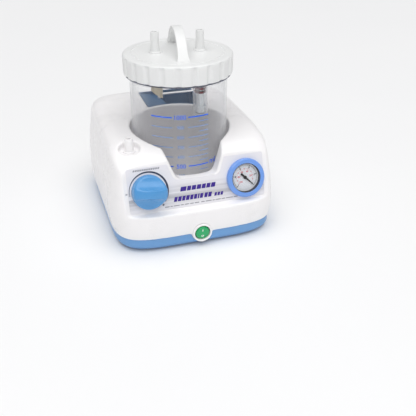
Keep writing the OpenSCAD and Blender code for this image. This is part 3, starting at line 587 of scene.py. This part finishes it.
def make_cover():
    """The white moulding, remeshed so that its edges come out softly rounded."""
    cover = housing_form("housing_shell", 0, SEAM_Z)
    boss = ((INLET_X - 28, 120, INLET_Z - 17), (INLET_X + 28, INLET_Y, INLET_Z + 17))
    join_in(cover, block("boss", *boss))
    carve(cover, recess("recess", 0))
    inside = housing_form("inside", WALL, SEAM_Z - 1)
    carve(inside, recess("recess", WALL), disc("well", WELL_R + WALL, -10, 150), window("window", WALL),
          disc("dish", DISH_R + WALL, DISH_Z - WALL, 150, Matrix.Translation((DISH_X, DISH_Y, 0))),
          block("boss", (INLET_X - 28, 130, INLET_Z - 17), (INLET_X + 28, 160, INLET_Z + 17)))
    carve(cover, inside, disc("under", WELL_R + WALL + 1, 0, WELL_FLOOR_Z - 2.5),
          disc("well", WELL_R, WELL_FLOOR_Z, 150, segments=160), window("window", 0),
          disc("dish", DISH_R, DISH_Z, 150, Matrix.Translation((DISH_X, DISH_Y, 0))), grip_cutter(),
          disc("knob_hole", 5, -10, 10, panel(-DIAL_X)), disc("gauge_hole", 19.6, -10, 10, panel(DIAL_X)),
          disc("nozzle_hole", 4, 90, 120, Matrix.Translation((DISH_X, DISH_Y, 0))),
          block("inlet_hole", (INLET_X - 17, 110, INLET_Z - 12.5), (INLET_X + 17, 150, INLET_Z + 12.5)),
          switch_bore(SURROUND_R + 0.1))
    tab = disc("tab", TAB_R, -5, 0, facing_front(0, SWITCH_Y, SWITCH_Z), 96)
    join_in(cover, carve(tab, switch_bore(SURROUND_R + 0.1)))
    join_in(cover, block("bar_foot", (BAR_LEFT + 0.2, BAR_LOW + 0.2, BAR_FOOT_Z + 0.2),
                         (BAR_LEFT + BAR_FOOT - 0.2, BAR_HIGH - 0.2, 115.8)))
    for x, y in POSTS:
        rib = (x, x + 7.4) if x > 0 else (x - 7.4, x)
        join_in(cover, disc("post", 4.5, 5.6, 35.6, Matrix.Translation((x, y, 0)), 32),
                block("rib", (rib[0], y - 1.5, SEAM_Z + 1), (rib[1], y + 1.5, 35.6)))
        carve(cover, disc("screw_hole", 1.64, 5, 25, Matrix.Translation((x, y, 0)), 32))
    change = cover.modifiers.new("remesh", "REMESH")
    change.mode, change.voxel_size, change.adaptivity = "VOXEL", 0.85 * MM, 0.0
    applied(cover)
    relax(cover, 11)
    thin = cover.modifiers.new("thin", "DECIMATE")
    thin.ratio = 170000 / (2 * len(cover.data.polygons))
    applied(cover)
    show(cover, finish["cover_plastic"], "housing", ("housing_cover", "jar_well"), 180)


def make_tray():
    """Blue lower tray: rounded foot edge outside, hollow inside, vents and screw holes in its floor."""
    outside = rounded([(10, 3, 0), (4.6, 3, 3), (1.3, 7.2, 5), (1.2, SEAM_Z, 0.35)], 6, closed=False)
    outside.append((1.45, SEAM_Z))
    inside = rounded([(3.6, SEAM_Z, 0), (3.8, 5.5, 2), (10, 5.5, 0)], 5, closed=False)
    rings = []
    for inset, z in outside + inside:
        x, y = plan_ring(inset)
        rings.append(np.stack([x, y, np.full(len(x), z)], -1))
    tray = rings_solid("base_shell", rings, (0, MID_Y, 3), (0, MID_Y, 5.5))
    carve(tray, switch_bore(TAB_R + 0.15))
    for x, y in POSTS:
        here = Matrix.Translation((x, y, 0))
        carve(tray, disc("hole", 1.8, 0, 10, here, 32), disc("hole", 3.6, 0, 4.4, here, 32))
    for i in range(7):
        y = 22 + 7 * i
        carve(tray, block("vent", (-82, y, 0), (-66, y + 3, 10), radius=1.45))
    show(tray, finish["blue_plastic"], "housing", ("base_tray",), 40)


def make_feet():
    profile = rounded([(0, 0.5, 0), (4.6, 0.5, 0.4), (5.0, 0, 0.4), (7.1, 0, 0.8), (8, 3, 0.2), (0, 3, 0)],
                      4, closed=False)
    for i, (x, y) in enumerate([(-66, -50), (-66, 112), (66, -50), (66, 112)]):
        foot = lathe(f"foot_{i}", profile, Matrix.Translation((x, y, 0)), 48, closed=False)
        show(foot, finish["foot_rubber"], "housing", ("rubber_feet",) if i == 0 else ())


def make_grip():
    """Blue tub behind the jar, with a thumb ramp at its left end and notches for the white bar."""
    rim, floor = 116.2, GRIP_Z + 1.8
    left = GRIP_LEFT + 1.8
    tub = prism("grip_tub", grip_plan(0), GRIP_Z, rim)
    ramp = rounded([(left, rim - 1, 0), (RAMP_END, RAMP_LOW_Z, 1.5), (RAMP_END, floor, 2),
                    (GRIP_RIGHT, floor, 0),
                    (GRIP_RIGHT, 150, 0), (left, 150, 0)])
    hollow = prism("hollow", grip_plan(1.8), floor, 150)
    carve(hollow, prism("ramp", ramp, -140, -20, Matrix.Rotation(math.pi / 2, 4, "X")), operation="INTERSECT")
    carve(tub, hollow, block("bar", (BAR_LEFT, BAR_LOW, BAR_Z), (GRIP_RIGHT + 1, BAR_HIGH, 150)),
          block("foot", (BAR_LEFT, BAR_LOW, BAR_FOOT_Z), (BAR_LEFT + BAR_FOOT, BAR_HIGH, 150)))
    # Dark blue grip finish: painted shade for the deep pocket behind the jar.
    show(tub, finish["grip_plastic"], "housing", ("grip_insert",))


def make_nozzle():
    profile = rounded([(2.4, 94, 0), (4, 94, 0.2), (4, DISH_Z, 0), (6.6, DISH_Z, 0), (6.6, DISH_Z + 1.4, 0.6),
                       (4.7, DISH_Z + 1.4, 0.6), (4.7, DISH_Z + 13, 0.5), (4.2, DISH_Z + 15.6, 0.7),
                       (2.4, DISH_Z + 15.6, 0.5)], 4)
    nozzle = lathe("suction_nozzle", profile, Matrix.Translation((DISH_X, DISH_Y, 0)), 64)
    show(nozzle, finish["cover_plastic"], "housing", ("body_nozzle",))


def make_inlet():
    """Mains inlet with rounded corners to its flange and round its socket."""
    here = facing_front(INLET_X, INLET_Y, INLET_Z)
    body = block("inlet", (-25, -15, -1.6), (25, 15, 0.02), here, 3)
    join_in(body, block("back", (-16.5, -12, 0), (16.5, 12, 26), here, 1.5))
    carve(body, block("socket", (-12.2, -8.3, -4), (12.2, 8.3, 16), here, 1.2))
    for side in (-20, 20):
        carve(body, disc("hole", 1.7, -4, 4, here @ Matrix.Translation((side, 0, 0)), 32))
    show(body, finish["dark_plastic"], "housing", ("inlet_body",))


make_cover()
make_inlet()
make_tray()
make_feet()
make_grip()
make_nozzle()


# ---------------------------------------------------------------- panel

def slanted(x, y, width, height, lean=0.28):
    """A slanted block that stands in for a printed sign."""
    return [(x, y), (x + width, y), (x + width + lean * height, y + height), (x + lean * height, y + height)]


def sign_row(x0, x1, y, height, widths, gap):
    """A row of slanted blocks of the given relative widths between two places."""
    unit = (x1 - x0 - gap * (len(widths) - 1) - 0.28 * height) / sum(widths)
    parts, x = [], x0
    for width in widths:
        parts.append(slab(slanted(x, y, width * unit, height), 0, 0.05))
        x += width * unit + gap
    return parts


def crescent(start, end, inner, thin, thick, steps=72):
    """A ring segment that thickens along its way, in degrees."""
    outer_arc, inner_arc = [], []
    for t in np.linspace(0, 1, steps):
        a = math.radians(start + (end - start) * t)
        r = inner + thin + (thick - thin) * math.sin(min(t * 1.25, 1) * math.pi / 2)
        outer_arc.append((r * math.cos(a), r * math.sin(a)))
        inner_arc.append((inner * math.cos(a), inner * math.sin(a)))
    return outer_arc + inner_arc[::-1]


def printed(name, parts, ink_material, x=0.0):
    mark = gathered(name, [(moved(p, panel(x, LABEL_T)), f) for p, f in parts])
    show(mark, ink_material, "housing")


def make_label():
    foot, head = -22.8, 26.5
    outline = rounded([(-77, foot, 3), (77, foot, 3), (77, head, 3), (32, head, 2), (25.5, 8, 8),
                       (-25.5, 8, 8),
                       (-32, head, 2), (-77, head, 3)], 6)
    film = prism("panel_film", outline, 0, LABEL_T, panel())
    carve(film, disc("hole", 5, -5, 5, panel(-DIAL_X)), disc("hole", 19.6, -5, 5, panel(DIAL_X)))
    show(film, finish["label_film"], "housing", ("front_label",))
    printed("print_indigo", sign_row(-20.5, 20.5, -5.2, 5.0, [1.5, 1, 1.1, 1.1, 1, 1, 1.1], 0.9)
            + sign_row(-28.5, 15.5, -15.6, 5.2, [1, 1.1, 1, 1.1, 1, 1, 0.5, 1, 0.01, 1, 1.1], 0.8)
            + sign_row(17.5, 28.5, -15.6, 3.8, [1, 1, 1], 0.8), indigo_ink)
    words = sign_row(-39, 0, -20.6, 1.1, [3, 1.5, 4, 2, 3, 2.5, 3], 1.0)
    words += sign_row(2, 45, -20.6, 1.1, [2, 3.5, 1.2, 3, 2, 4, 2.4], 1.0)
    words += sign_row(-69.6, -40.5, 22.9, 1.9, [1] * 12, 0.55)
    printed("print_grey", words, grey_ink)
    printed("print_crescent", [slab(crescent(188, -38, 20.3, 0.35, 2.1), 0, 0.05)], slate_ink, -DIAL_X)
    minus = slab([(-24.8, -0.35), (-22.6, -0.35), (-22.6, 0.35), (-24.8, 0.35)], 0, 0.05)
    plus = [slab([(13.5, -17.35), (16.1, -17.35), (16.1, -16.65), (13.5, -16.65)], 0, 0.05)]
    plus.append(slab([(14.45, -18.3), (15.15, -18.3), (15.15, -15.7), (14.45, -15.7)], 0, 0.06))
    printed("print_signs", [minus, *plus], slate_ink, -DIAL_X)


def make_knob():
    """Dome with two scoops that leave a grip ridge across it."""
    base, dome, turn = LABEL_T + 0.5, 36.0, math.radians(-8)
    radii = np.concatenate([np.linspace(0, KNOB_R - 1.2, 40), [KNOB_R - 0.75, KNOB_R - 0.35, KNOB_R - 0.1]])
    around = 144

    def soft_min(a, b, reach=2.2):
        h = np.clip(0.5 + 0.5 * (b - a) / reach, 0, 1)
        return b + (a - b) * h - reach * h * (1 - h)

    rings = [np.array([(KNOB_R * math.cos(a), KNOB_R * math.sin(a), base)
                       for a in np.arange(around) * TAU / around])]
    for r in radii[::-1]:
        ring = []
        for a in np.arange(around) * TAU / around:
            across = r * math.sin(a - turn)
            z = math.sqrt(dome * dome - r * r) - dome + KNOB_H
            for side in (-1, 1):
                gap = 14.5 ** 2 - (across - side * 18.4) ** 2
                if gap > 0:
                    z = float(soft_min(z, KNOB_H + 3 - math.sqrt(gap)))
            edge = max(0.0, r - (KNOB_R - 2.6)) / 2.6
            ring.append((r * math.cos(a), r * math.sin(a), base + max(z, 6.4) - 2.2 * edge ** 3))
        rings.append(np.array(ring))
    knob = rings_solid("regulator_dome", [moved(r, panel(-DIAL_X)) for r in rings],
                       moved([(0, 0, base)], panel(-DIAL_X))[0],
                       moved([(0, 0, base + KNOB_H)], panel(-DIAL_X))[0])
    carve(knob, disc("bore", 2.96, -5, 13, panel(-DIAL_X), 48))
    show(knob, finish["knob_plastic"], "regulator", ("regulator_knob",))


def make_gauge():
    here = panel(DIAL_X)
    low = LABEL_T + 0.02
    bezel = rounded([(17.7, low, 0.1), (BEZEL_R - 0.05, low, 0.4), (BEZEL_R - 0.02, 5.45, 2.8),
                     (16.45, 5.45, 1.5),
                     (16.45, 4, 0.1), (17.25, 4, 0), (17.25, 2, 0), (16.45, 2, 0.1), (16.45, 1.65, 0),
                     (17.7, 1.65, 0)])
    show(lathe("gauge_ring", bezel, here, 128), finish["bezel_plastic"], "housing",
         ("gauge_bezel",))
    sleeve = [(15.85, 0.05), (16.4, 0.05), (16.4, 2.4), (16.1, 2.4), (15.85, 2.2)]
    show(lathe("gauge_sleeve", sleeve, here, 96), finish["dark_plastic"], "housing")
    liner = [(16.08, 3.85), (16.5, 3.85), (16.5, 5.1), (16.08, 5.0)]
    show(lathe("gauge_liner", liner, here, 96), finish["dark_plastic"], "housing")
    face = carve(disc("dial_face", 17.5, -0.6, 0, here, 96), disc("hole", 1.4, -3, 3, here, 32))
    show(face, finish_dial, "housing", ("gauge_dial",))
    black, red = [], []
    for i in range(51):
        a = math.radians(-45 + 270 * i / 50)
        major = i % 10 == 0
        for marks, inner, outer, half in ((black, 12.4 if major else 13.3, 14.9, 0.34 if major else 0.17),
                                          (red, 8.6 if i % 5 == 0 else 9.1, 10.2,
                                           0.26 if i % 5 == 0 else 0.15)):
            if marks is red and i % 5 and i % 2:
                continue
            c, s = math.cos(a), math.sin(a)
            outline = [(inner * c + half * s, inner * s - half * c),
                       (outer * c + half * s, outer * s - half * c),
                       (outer * c - half * s, outer * s + half * c),
                       (inner * c - half * s, inner * s + half * c)]
            marks.append(slab(outline, 0, 0.05))
    for marks, radius, height, values in ((black, 11.4, 2.1, ["0", ".2", ".4", ".6", ".8", "1"]),
                                          (red, 6.9, 2.0, ["0", "20", "40", "60", "80", "100"])):
        for i, value in enumerate(values):
            a = math.radians(-45 + 54 * i)
            points, faces = glyphs("figure", value, height, 0.06, 0.05)
            marks.append((points + [radius * math.cos(a), radius * math.sin(a), 0.025], faces))
    for name, marks, ink_material in (("dial_black", black, black_ink), ("dial_red", red, red_ink)):
        mark = gathered(name, [(moved(p, here), f) for p, f in marks])
        show(mark, ink_material, "housing")
    lens = rounded([(0, 2.45, 0), (17.15, 2.45, 0.15), (17.15, 3.55, 0.15), (0, 3.75, 0)], 3, closed=False)
    show(lathe("gauge_window", lens, here, 96, closed=False), finish["clear_lens"], "housing",
         ("gauge_lens",))


def make_needle():
    """Pointer with a broad tail, at zero at the lower right."""
    here = panel(DIAL_X)
    turned = here @ Matrix.Rotation(math.radians(-45), 4, "Z")
    outline = rounded([(-6.6, -1.5, 0.8), (-6.6, 1.5, 0.8), (-3.4, 1.05, 1), (0, 1.15, 1), (12.8, 0.22, 0.1),
                       (12.8, -0.22, 0.1), (0, -1.15, 1), (-3.4, -1.05, 1)], 4)
    hub = rounded([(0, -8.8, 0), (0.8, -8.8, 0.1), (0.8, 0.6, 0), (2.0, 0.6, 0.1), (2.0, 1.5, 0.4),
                   (0, 1.8, 0)],
                  4, closed=False)
    pointer = join_in(prism("pointer", outline, 0.9, 1.35, turned), lathe("hub", hub, here, 48, closed=False))
    show(pointer, finish["needle_black"], "pointer", ("gauge_needle",))


def make_switch():
    """White surround, green rocker pressed in at its lower half, and its two marks."""
    here = facing_front(0, SWITCH_Y, SWITCH_Z)
    inner = ROCKER_R + 0.9
    ring = rounded([(inner, -7, 0.1), (SURROUND_R, -7, 0.1), (SURROUND_R, 0, 0), (SURROUND_R + 1, 0, 0.1),
                    (SURROUND_R + 1, 1.6, 0.9), (inner, 1.6, 0.5)])
    show(lathe("switch_ring", ring, here, 96), finish["cover_plastic"], "housing",
         ("switch_surround",))
    rest = Matrix.Translation((0, SWITCH_Y + 2.5, SWITCH_Z)) @ Matrix.Rotation(math.radians(100), 4, "X")
    ball = ROCKER_R + 0.55
    dome = [(r, math.sqrt(ball * ball - r * r) - 0.9 * max(0.0, 1 - abs(r - 4) / 4) ** 2)
            for r in np.linspace(0, ROCKER_R - 0.5, 14)]
    profile = [(0, -2.5), (ROCKER_R - 0.3, -2.5), (ROCKER_R, -2.2), (ROCKER_R, 2.0), (ROCKER_R - 0.15, 2.5),
               *dome[::-1]]
    flat = [(r, min(z, 3.4 + 0.25 * math.cos(r / ROCKER_R * math.pi / 2))) for r, z in profile]
    rocker = lathe("rocker", flat, rest, 96, closed=False)
    axle = disc("axle", 1.0, -ROCKER_R - 1.2, ROCKER_R + 1.2, rest @ Matrix.Rotation(math.pi / 2, 4, "Y"), 32)
    show(join_in(rocker, axle), finish["switch_green"], "rocker", ("switch_rocker",))
    top = 3.62
    bar = slab([(-0.42, 2.6), (0.42, 2.6), (0.42, 5.4), (-0.42, 5.4)], top - 0.3, top)
    ring_out, ring_in = circle(1.5, 40), circle(0.85, 40)
    loop = np.array([(x, y - 3.9, z) for z in (top - 0.3, top) for x, y in ring_out + ring_in])
    faces = []
    for i in range(40):
        j = (i + 1) % 40
        faces += [(i, j, 80 + j, 80 + i), (40 + j, 40 + i, 120 + i, 120 + j),
                  (80 + i, 80 + j, 120 + j, 120 + i),
                  (j, i, 40 + i, 40 + j)]
    mark = gathered("rocker_marks", [(moved(p, rest), f) for p, f in [bar, (loop, faces)]])
    show(mark, white_ink, "rocker")


dial_nodes = Nodes("finish_dial")
dial_grain = dial_nodes.noise(900, 2)
finish_dial = dial_nodes.end(dial_nodes.add(
    "ShaderNodeBsdfPrincipled", Base_Color=dial_nodes.mix(dial_grain, (0.80, 0.81, 0.85, 1),
                                                          (0.88, 0.89, 0.92, 1)),
    Roughness=dial_nodes.span(dial_grain, 0.42, 0.55)).outputs[0])
make_label()
make_knob()
make_gauge()
make_needle()
make_switch()


# ---------------------------------------------------------------- jar

def around_jar(points, centre_deg, z):
    """Bends flat (across, up, out) millimetres round the jar's wall, from an angle off the front."""
    across, up, out = np.asarray(points, float).T
    radius = JAR_R + 0.05 + out
    angle = math.radians(centre_deg) + across / JAR_R
    return np.stack([radius * np.sin(angle), -radius * np.cos(angle), z + up], -1)


def line_round(start_deg, end_deg, z, thick, steps=12):
    half = math.radians(end_deg - start_deg) * JAR_R / 2
    xs = np.linspace(-half, half, steps)
    outline = [(x, -thick / 2) for x in xs] + [(x, thick / 2) for x in xs[::-1]]
    n = len(outline)
    points = [(x, y, d) for d in (-0.02, 0.03) for x, y in outline]
    faces = [(i, (i + 1) % n, n + (i + 1) % n, n + i) for i in range(n)]
    for k in range(steps - 1):
        a, b, c, d = k, k + 1, n - 2 - k, n - 1 - k
        faces += [(a, d, c, b), (n + a, n + b, n + c, n + d)]
    return around_jar(points, (start_deg + end_deg) / 2, z), faces


def make_jar():
    flange = LID_Z - 4.4
    profile = rounded([(0, JAR_Z + 0.6, 0), (JAR_R - 9, JAR_Z + 0.6, 1), (JAR_R - 7, JAR_Z, 0.6),
                       (JAR_R, JAR_Z, 4.5),
                       (JAR_R, flange, 0.4), (JAR_R + 1.8, flange, 0.5), (JAR_R + 1.8, flange + 3.2, 0.5),
                       (JAR_R, flange + 3.2, 0.3), (JAR_R, JAR_TOP - 8, 0.3), (JAR_R + 1.4, JAR_TOP - 8, 0.6),
                       (JAR_R + 1.4, JAR_TOP - 5.6, 0.6), (JAR_R, JAR_TOP - 5.6, 0.3), (JAR_R, JAR_TOP, 0.5),
                       (JAR_R - JAR_WALL, JAR_TOP, 0.5), (JAR_R - JAR_WALL, JAR_Z + 3, 4), (0, JAR_Z + 3, 0)],
                      6, closed=False)
    show(lathe("jar_glass", profile, segments=192, closed=False), finish["jar_clear"], "jar",
         ("jar",))
    # Painted shadow: a dark ring just under the lid's rim that stands in for the shade between the lid's
    # lower edge and the jar's flange.
    lid_shadow_outline = rounded([(JAR_R + 1.7, LID_Z - 1.9, 0.1), (LID_R - 1.3, LID_Z - 1.9, 0.5),
                   (LID_R - 1.3, LID_Z - 0.6, 0.3),
                   (JAR_R + 1.7, LID_Z - 0.6, 0.1)], 3)
    show(lathe("lid_shadow_ring", lid_shadow_outline, segments=160), finish_lip, "jar")
    full, step = 142.0, 11.33
    bold, thin = [], []
    for i in range(10):
        volume, z = 1000 - 100 * i, full - step * i
        strong = volume in (1000, 500)
        parts, thick = (bold, 1.35) if strong else (thin, 0.65)
        parts.append(line_round(-48.4, -23.3, z, thick))
        parts.append(line_round(-5.4, 19.4, z, thick))
        points, faces = glyphs("figure", str(volume), 4.9 if strong else 3.5, 0.07 if strong else 0.0)
        parts.append((around_jar(points, -14.2, z), faces))
        if volume > 100:
            thin.append(line_round(7.7, 19.4, z - step / 2, 0.7))
    points, faces = glyphs("unit", "ml", 6.6, 0.08)
    bold.append((around_jar(points, 26.0, full - 5 * step + 1.6), faces))
    for name, parts, ink_material in (("scale_bold", bold, bold_ink), ("scale_thin", thin, thin_ink)):
        show(gathered(name, parts), ink_material, "jar")


# ---------------------------------------------------------------- lid

def make_lid():
    """Screw lid with gentle flutes round its rim and a fine groove in its top."""
    height = LID_TOP - LID_Z
    outside = rounded([(0, 0, 0), (49.3, 0, 0.3), (49.7, -0.7, 0.3), (50.5, -0.7, 0.3), (50.9, 0, 0.3),
                       (LID_R, -0.3, 3.0), (LID_R, -height, 0.7)], 6, closed=False)
    outside.pop()
    down = [(LID_R, z) for z in np.linspace(-4.5, -height + 0.8, 14)]
    under = rounded([(LID_R, -height + 0.8, 0), (LID_R - 0.1, -height, 0.5), (JAR_R + 2.4, -height, 0.5),
                     (JAR_R + 2.4, -4, 0.6), (0, -4, 0)], 5, closed=False)
    profile = outside + down + under[1:]
    per_flute = 20
    around = SCALLOPS * per_flute
    hollow_r, hollow_at = 4.8, LID_R + 3.1
    n = len(profile)
    points = []
    for i in range(around):
        a = TAU * i / around
        off = (i % per_flute) * TAU / around
        off = min(off, TAU / SCALLOPS - off)
        side = hollow_at * math.sin(off)
        cut = LID_R
        if abs(side) < hollow_r:
            cut = min(LID_R, hollow_at * math.cos(off) - math.sqrt(hollow_r ** 2 - side ** 2))
        for k, (r, z) in enumerate(profile):
            fade = np.clip((-z - 0.9) / 2.2, 0, 1)
            fade = fade * fade * (3 - 2 * fade)
            if r > LID_R - 1.9:
                r = r - (LID_R - cut) * fade * (1 if r > LID_R - 0.3 else 0.75)
            points.append((r * math.cos(a), r * math.sin(a), z))
    faces = [(i * n + k, i * n + k + 1, (i + 1) % around * n + k + 1, (i + 1) % around * n + k)
             for i in range(around) for k in range(n - 1)]
    cap = solid("lid_shell", moved(points, on_lid()), faces)
    for side in (-1, 1):
        carve(cap, disc("bore", 4.6, -20, 20, on_lid(side * NOZZLE_X), 48))
    show(cap, finish["lid_plastic"], "lid", ("lid_cap",), 32)
    for side in (-1, 1):
        nozzle = rounded([(2.6, -12, 0), (5, -12, 0.3), (5, -4, 0), (4.55, -4, 0), (4.55, -0.2, 0),
                          (7, -0.2, 0),
                          (7, 1.5, 0.8), (5.25, 1.6, 0.5), (5.1, 3, 1), (4.4, NOZZLE_H - 11, 6),
                          (4.4, NOZZLE_H, 0.7),
                          (2.6, NOZZLE_H, 0.6)], 5)
        tube = lathe("lid_nozzle_left" if side < 0 else "lid_nozzle_right", nozzle, on_lid(side * NOZZLE_X),
                     64)
        show(tube, finish["lid_plastic"], "lid")


def make_handle():
    """Arched strap that widens softly into the lid at its two feet."""
    arc_r = (HANDLE_FOOT ** 2 + HANDLE_H ** 2) / (2 * HANDLE_H)
    centre = HANDLE_H - arc_r
    reach = math.acos((-centre - 2.2) / (arc_r - STRAP_T / 2))
    rings = []
    for t in np.linspace(-1, 1, 81):
        a = t * reach
        radius = arc_r - STRAP_T / 2
        y, z = radius * math.sin(a), centre + radius * math.cos(a)
        foot = math.exp(-max(z, 0.0) / 3.2)
        width, thick = STRAP_W + 3.6 * foot, STRAP_T + 2.4 * foot
        section = rounded([(-width / 2, -thick / 2, 1.2), (width / 2, -thick / 2, 1.2),
                           (width / 2, thick / 2, 1.0), (-width / 2, thick / 2, 1.0)], 5)
        rings.append(moved([(u, y + v * math.sin(a), z + v * math.cos(a)) for u, v in section], on_lid()))
    strap = rings_solid("carry_strap", rings, rings[0].mean(0), rings[-1].mean(0))
    show(strap, finish["lid_plastic"], "lid", ("lid_handle",), 50)


def make_inner_parts():
    """What hangs under the lid: the slanted spout, the clear cage, the float and its two rings."""
    pipe = rounded([(5, -52, 0.3), (6.4, -52, 0.3), (6.4, -4.02, 0), (5, -4.02, 0)], 4)
    spout = lathe("lid_spout", pipe, on_lid(-NOZZLE_X), 64)
    slope = prism("slope", [(-9, -62), (-9, -40.1), (9, -53.15), (9, -62)], -20, 20,
                  on_lid(-NOZZLE_X) @ Matrix.Rotation(math.pi / 2, 4, "X"))
    show(carve(spout, slope), finish["spout_plastic"], "lid", ("patient_spout",))
    foot = 124 - LID_TOP
    cage = rounded([(2.5, foot, 0.2), (8.45, foot, 1.0), (8.45, -4.03, 0), (5, -4.03, 0), (5, -12.5, 0.3),
                    (7.2, -12.5, 0.3), (7.2, foot + 1.5, 0.8), (2.5, foot + 1.5, 0.2)], 4)
    guide = lathe("float_guide", cage, on_lid(NOZZLE_X), 64)
    for turn in (0, 90):
        slot = block("slot", (-2.4, -10, foot + 12), (2.4, 10, foot + 36),
                     on_lid(NOZZLE_X) @ Matrix.Rotation(math.radians(turn), 4, "Z"))
        carve(guide, slot)
    show(guide, finish["cage_clear"], "lid", ("float_cage",))
    low = 125.8 - LID_TOP
    body = rounded([(0, low, 0), (4.5, low, 0.5), (4.5, low + 40, 0.6), (2, low + 45.9, 0.8),
                    (0, low + 45.9, 0)],
                   5, closed=False)
    show(lathe("float_body", body, on_lid(NOZZLE_X), 64, closed=False), finish["float_plastic"], "float",
         ("valve_float",))
    cup = rounded([(4.52, low + 0.2, 0.1), (4.75, low + 0.2, 0.1), (4.75, low + 1.1, 0.1),
                   (4.52, low + 1.1, 0.1)], 3)
    show(lathe("float_band", cup, on_lid(NOZZLE_X), 64), finish["dark_plastic"], "float")
    for i, z in enumerate((150, 154.4)):
        at = z - LID_TOP
        ring = rounded([(4.52, at, 0.2), (6.6, at, 0.9), (6.6, at + 2.4, 0.9), (4.52, at + 2.4, 0.2)], 5)
        show(lathe(f"seal_ring_{i}", ring, on_lid(NOZZLE_X), 64), finish["ring_red"], "float",
             ("float_rings",) if i == 0 else ())


# Dark grey see-through finish for the ring under the lid: painted shadow, not a colour of the jar.
finish_lip = clear("finish_lip", (0.42, 0.44, 0.52, 1), 0.35, body=(0.30, 0.31, 0.36, 1))
make_jar()
make_lid()
make_handle()
make_inner_parts()


# ---------------------------------------------------------------- floor, lights and camera

def make_stage():
    """A plain pale floor, 18 m across, so that its edge stays far off."""
    size = 9.0
    mesh = bpy.data.meshes.new("floor")
    mesh.from_pydata([(-size, -size, 0), (size, -size, 0), (size, size, 0), (-size, size, 0)], [],
                     [(0, 1, 2, 3)])
    floor = bpy.data.objects.new("floor", mesh)
    bpy.context.scene.collection.objects.link(floor)
    n = Nodes("pale_floor")
    cloud = n.noise(3, 2)
    bsdf = n.add("ShaderNodeBsdfPrincipled",
                 Base_Color=n.mix(cloud, (0.86, 0.86, 0.865, 1), (0.88, 0.88, 0.88, 1)))
    bsdf.inputs["Roughness"].default_value = 0.9
    mesh.materials.append(n.end(bsdf.outputs[0]))


def softbox(name, place, target, size, power):
    """A round white area light that looks at a point."""
    light = bpy.data.lights.new(name, "AREA")
    light.shape, light.size, light.energy = "DISK", size, power
    lamp = bpy.data.objects.new(name, light)
    bpy.context.scene.collection.objects.link(lamp)
    lamp.location = place
    lamp.rotation_euler = (Vector(target) - Vector(place)).to_track_quat("-Z", "Y").to_euler()


def make_light():
    """Two soft boxes at the front, a wide overhead light and a pale backdrop that only the camera sees."""
    middle = (cad_box[0] + cad_box[1]) / 2
    softbox("key", (-0.35, -1.6, 1.1), middle, 0.8, 6)
    softbox("fill", (1.5, -0.9, 0.8), middle, 1.2, 0.8)
    sky = bpy.data.lights.new("overhead", "SUN")
    sky.energy, sky.angle = 2.25, math.radians(70)
    lamp = bpy.data.objects.new("overhead", sky)
    bpy.context.scene.collection.objects.link(lamp)
    lamp.rotation_euler = (math.radians(12), math.radians(-3), 0)
    world = bpy.data.worlds.new("studio")
    bpy.context.scene.world = world
    world.use_nodes = True
    tree = world.node_tree
    ambient = tree.nodes["Background"]
    ambient.inputs["Color"].default_value = (0.98, 0.985, 1.0, 1)
    ambient.inputs["Strength"].default_value = 0.30
    backdrop = tree.nodes.new("ShaderNodeBackground")
    backdrop.inputs["Strength"].default_value = 0.88
    seen = tree.nodes.new("ShaderNodeLightPath")
    pick = tree.nodes.new("ShaderNodeMixShader")
    tree.links.new(seen.outputs["Is Camera Ray"], pick.inputs[0])
    tree.links.new(ambient.outputs[0], pick.inputs[1])
    tree.links.new(backdrop.outputs[0], pick.inputs[2])
    tree.links.new(pick.outputs[0], tree.nodes["World Output"].inputs["Surface"])


def make_camera():
    """The photograph's viewing angle: from the front left, looking down."""
    data = bpy.data.cameras.new("camera")
    data.lens, data.sensor_width = 51.92, 36.0
    camera = bpy.data.objects.new("camera", data)
    bpy.context.scene.collection.objects.link(camera)
    camera.location = row([(-168.7, -625.1, 371.3)])[0]
    camera.rotation_euler = Vector((0.2684, 0.8261, -0.4955)).to_track_quat("-Z", "Y").to_euler()
    data.clip_start, data.clip_end = 0.01, 50
    bpy.context.scene.camera = camera


make_stage()
make_light()
make_camera()
bpy.context.scene.view_settings.view_transform = "Standard"
# The jar, its print and the cage are many clear walls deep.
# With fewer bounces, what lies behind them goes dark.
bpy.context.scene.cycles.transparent_max_bounces = 32
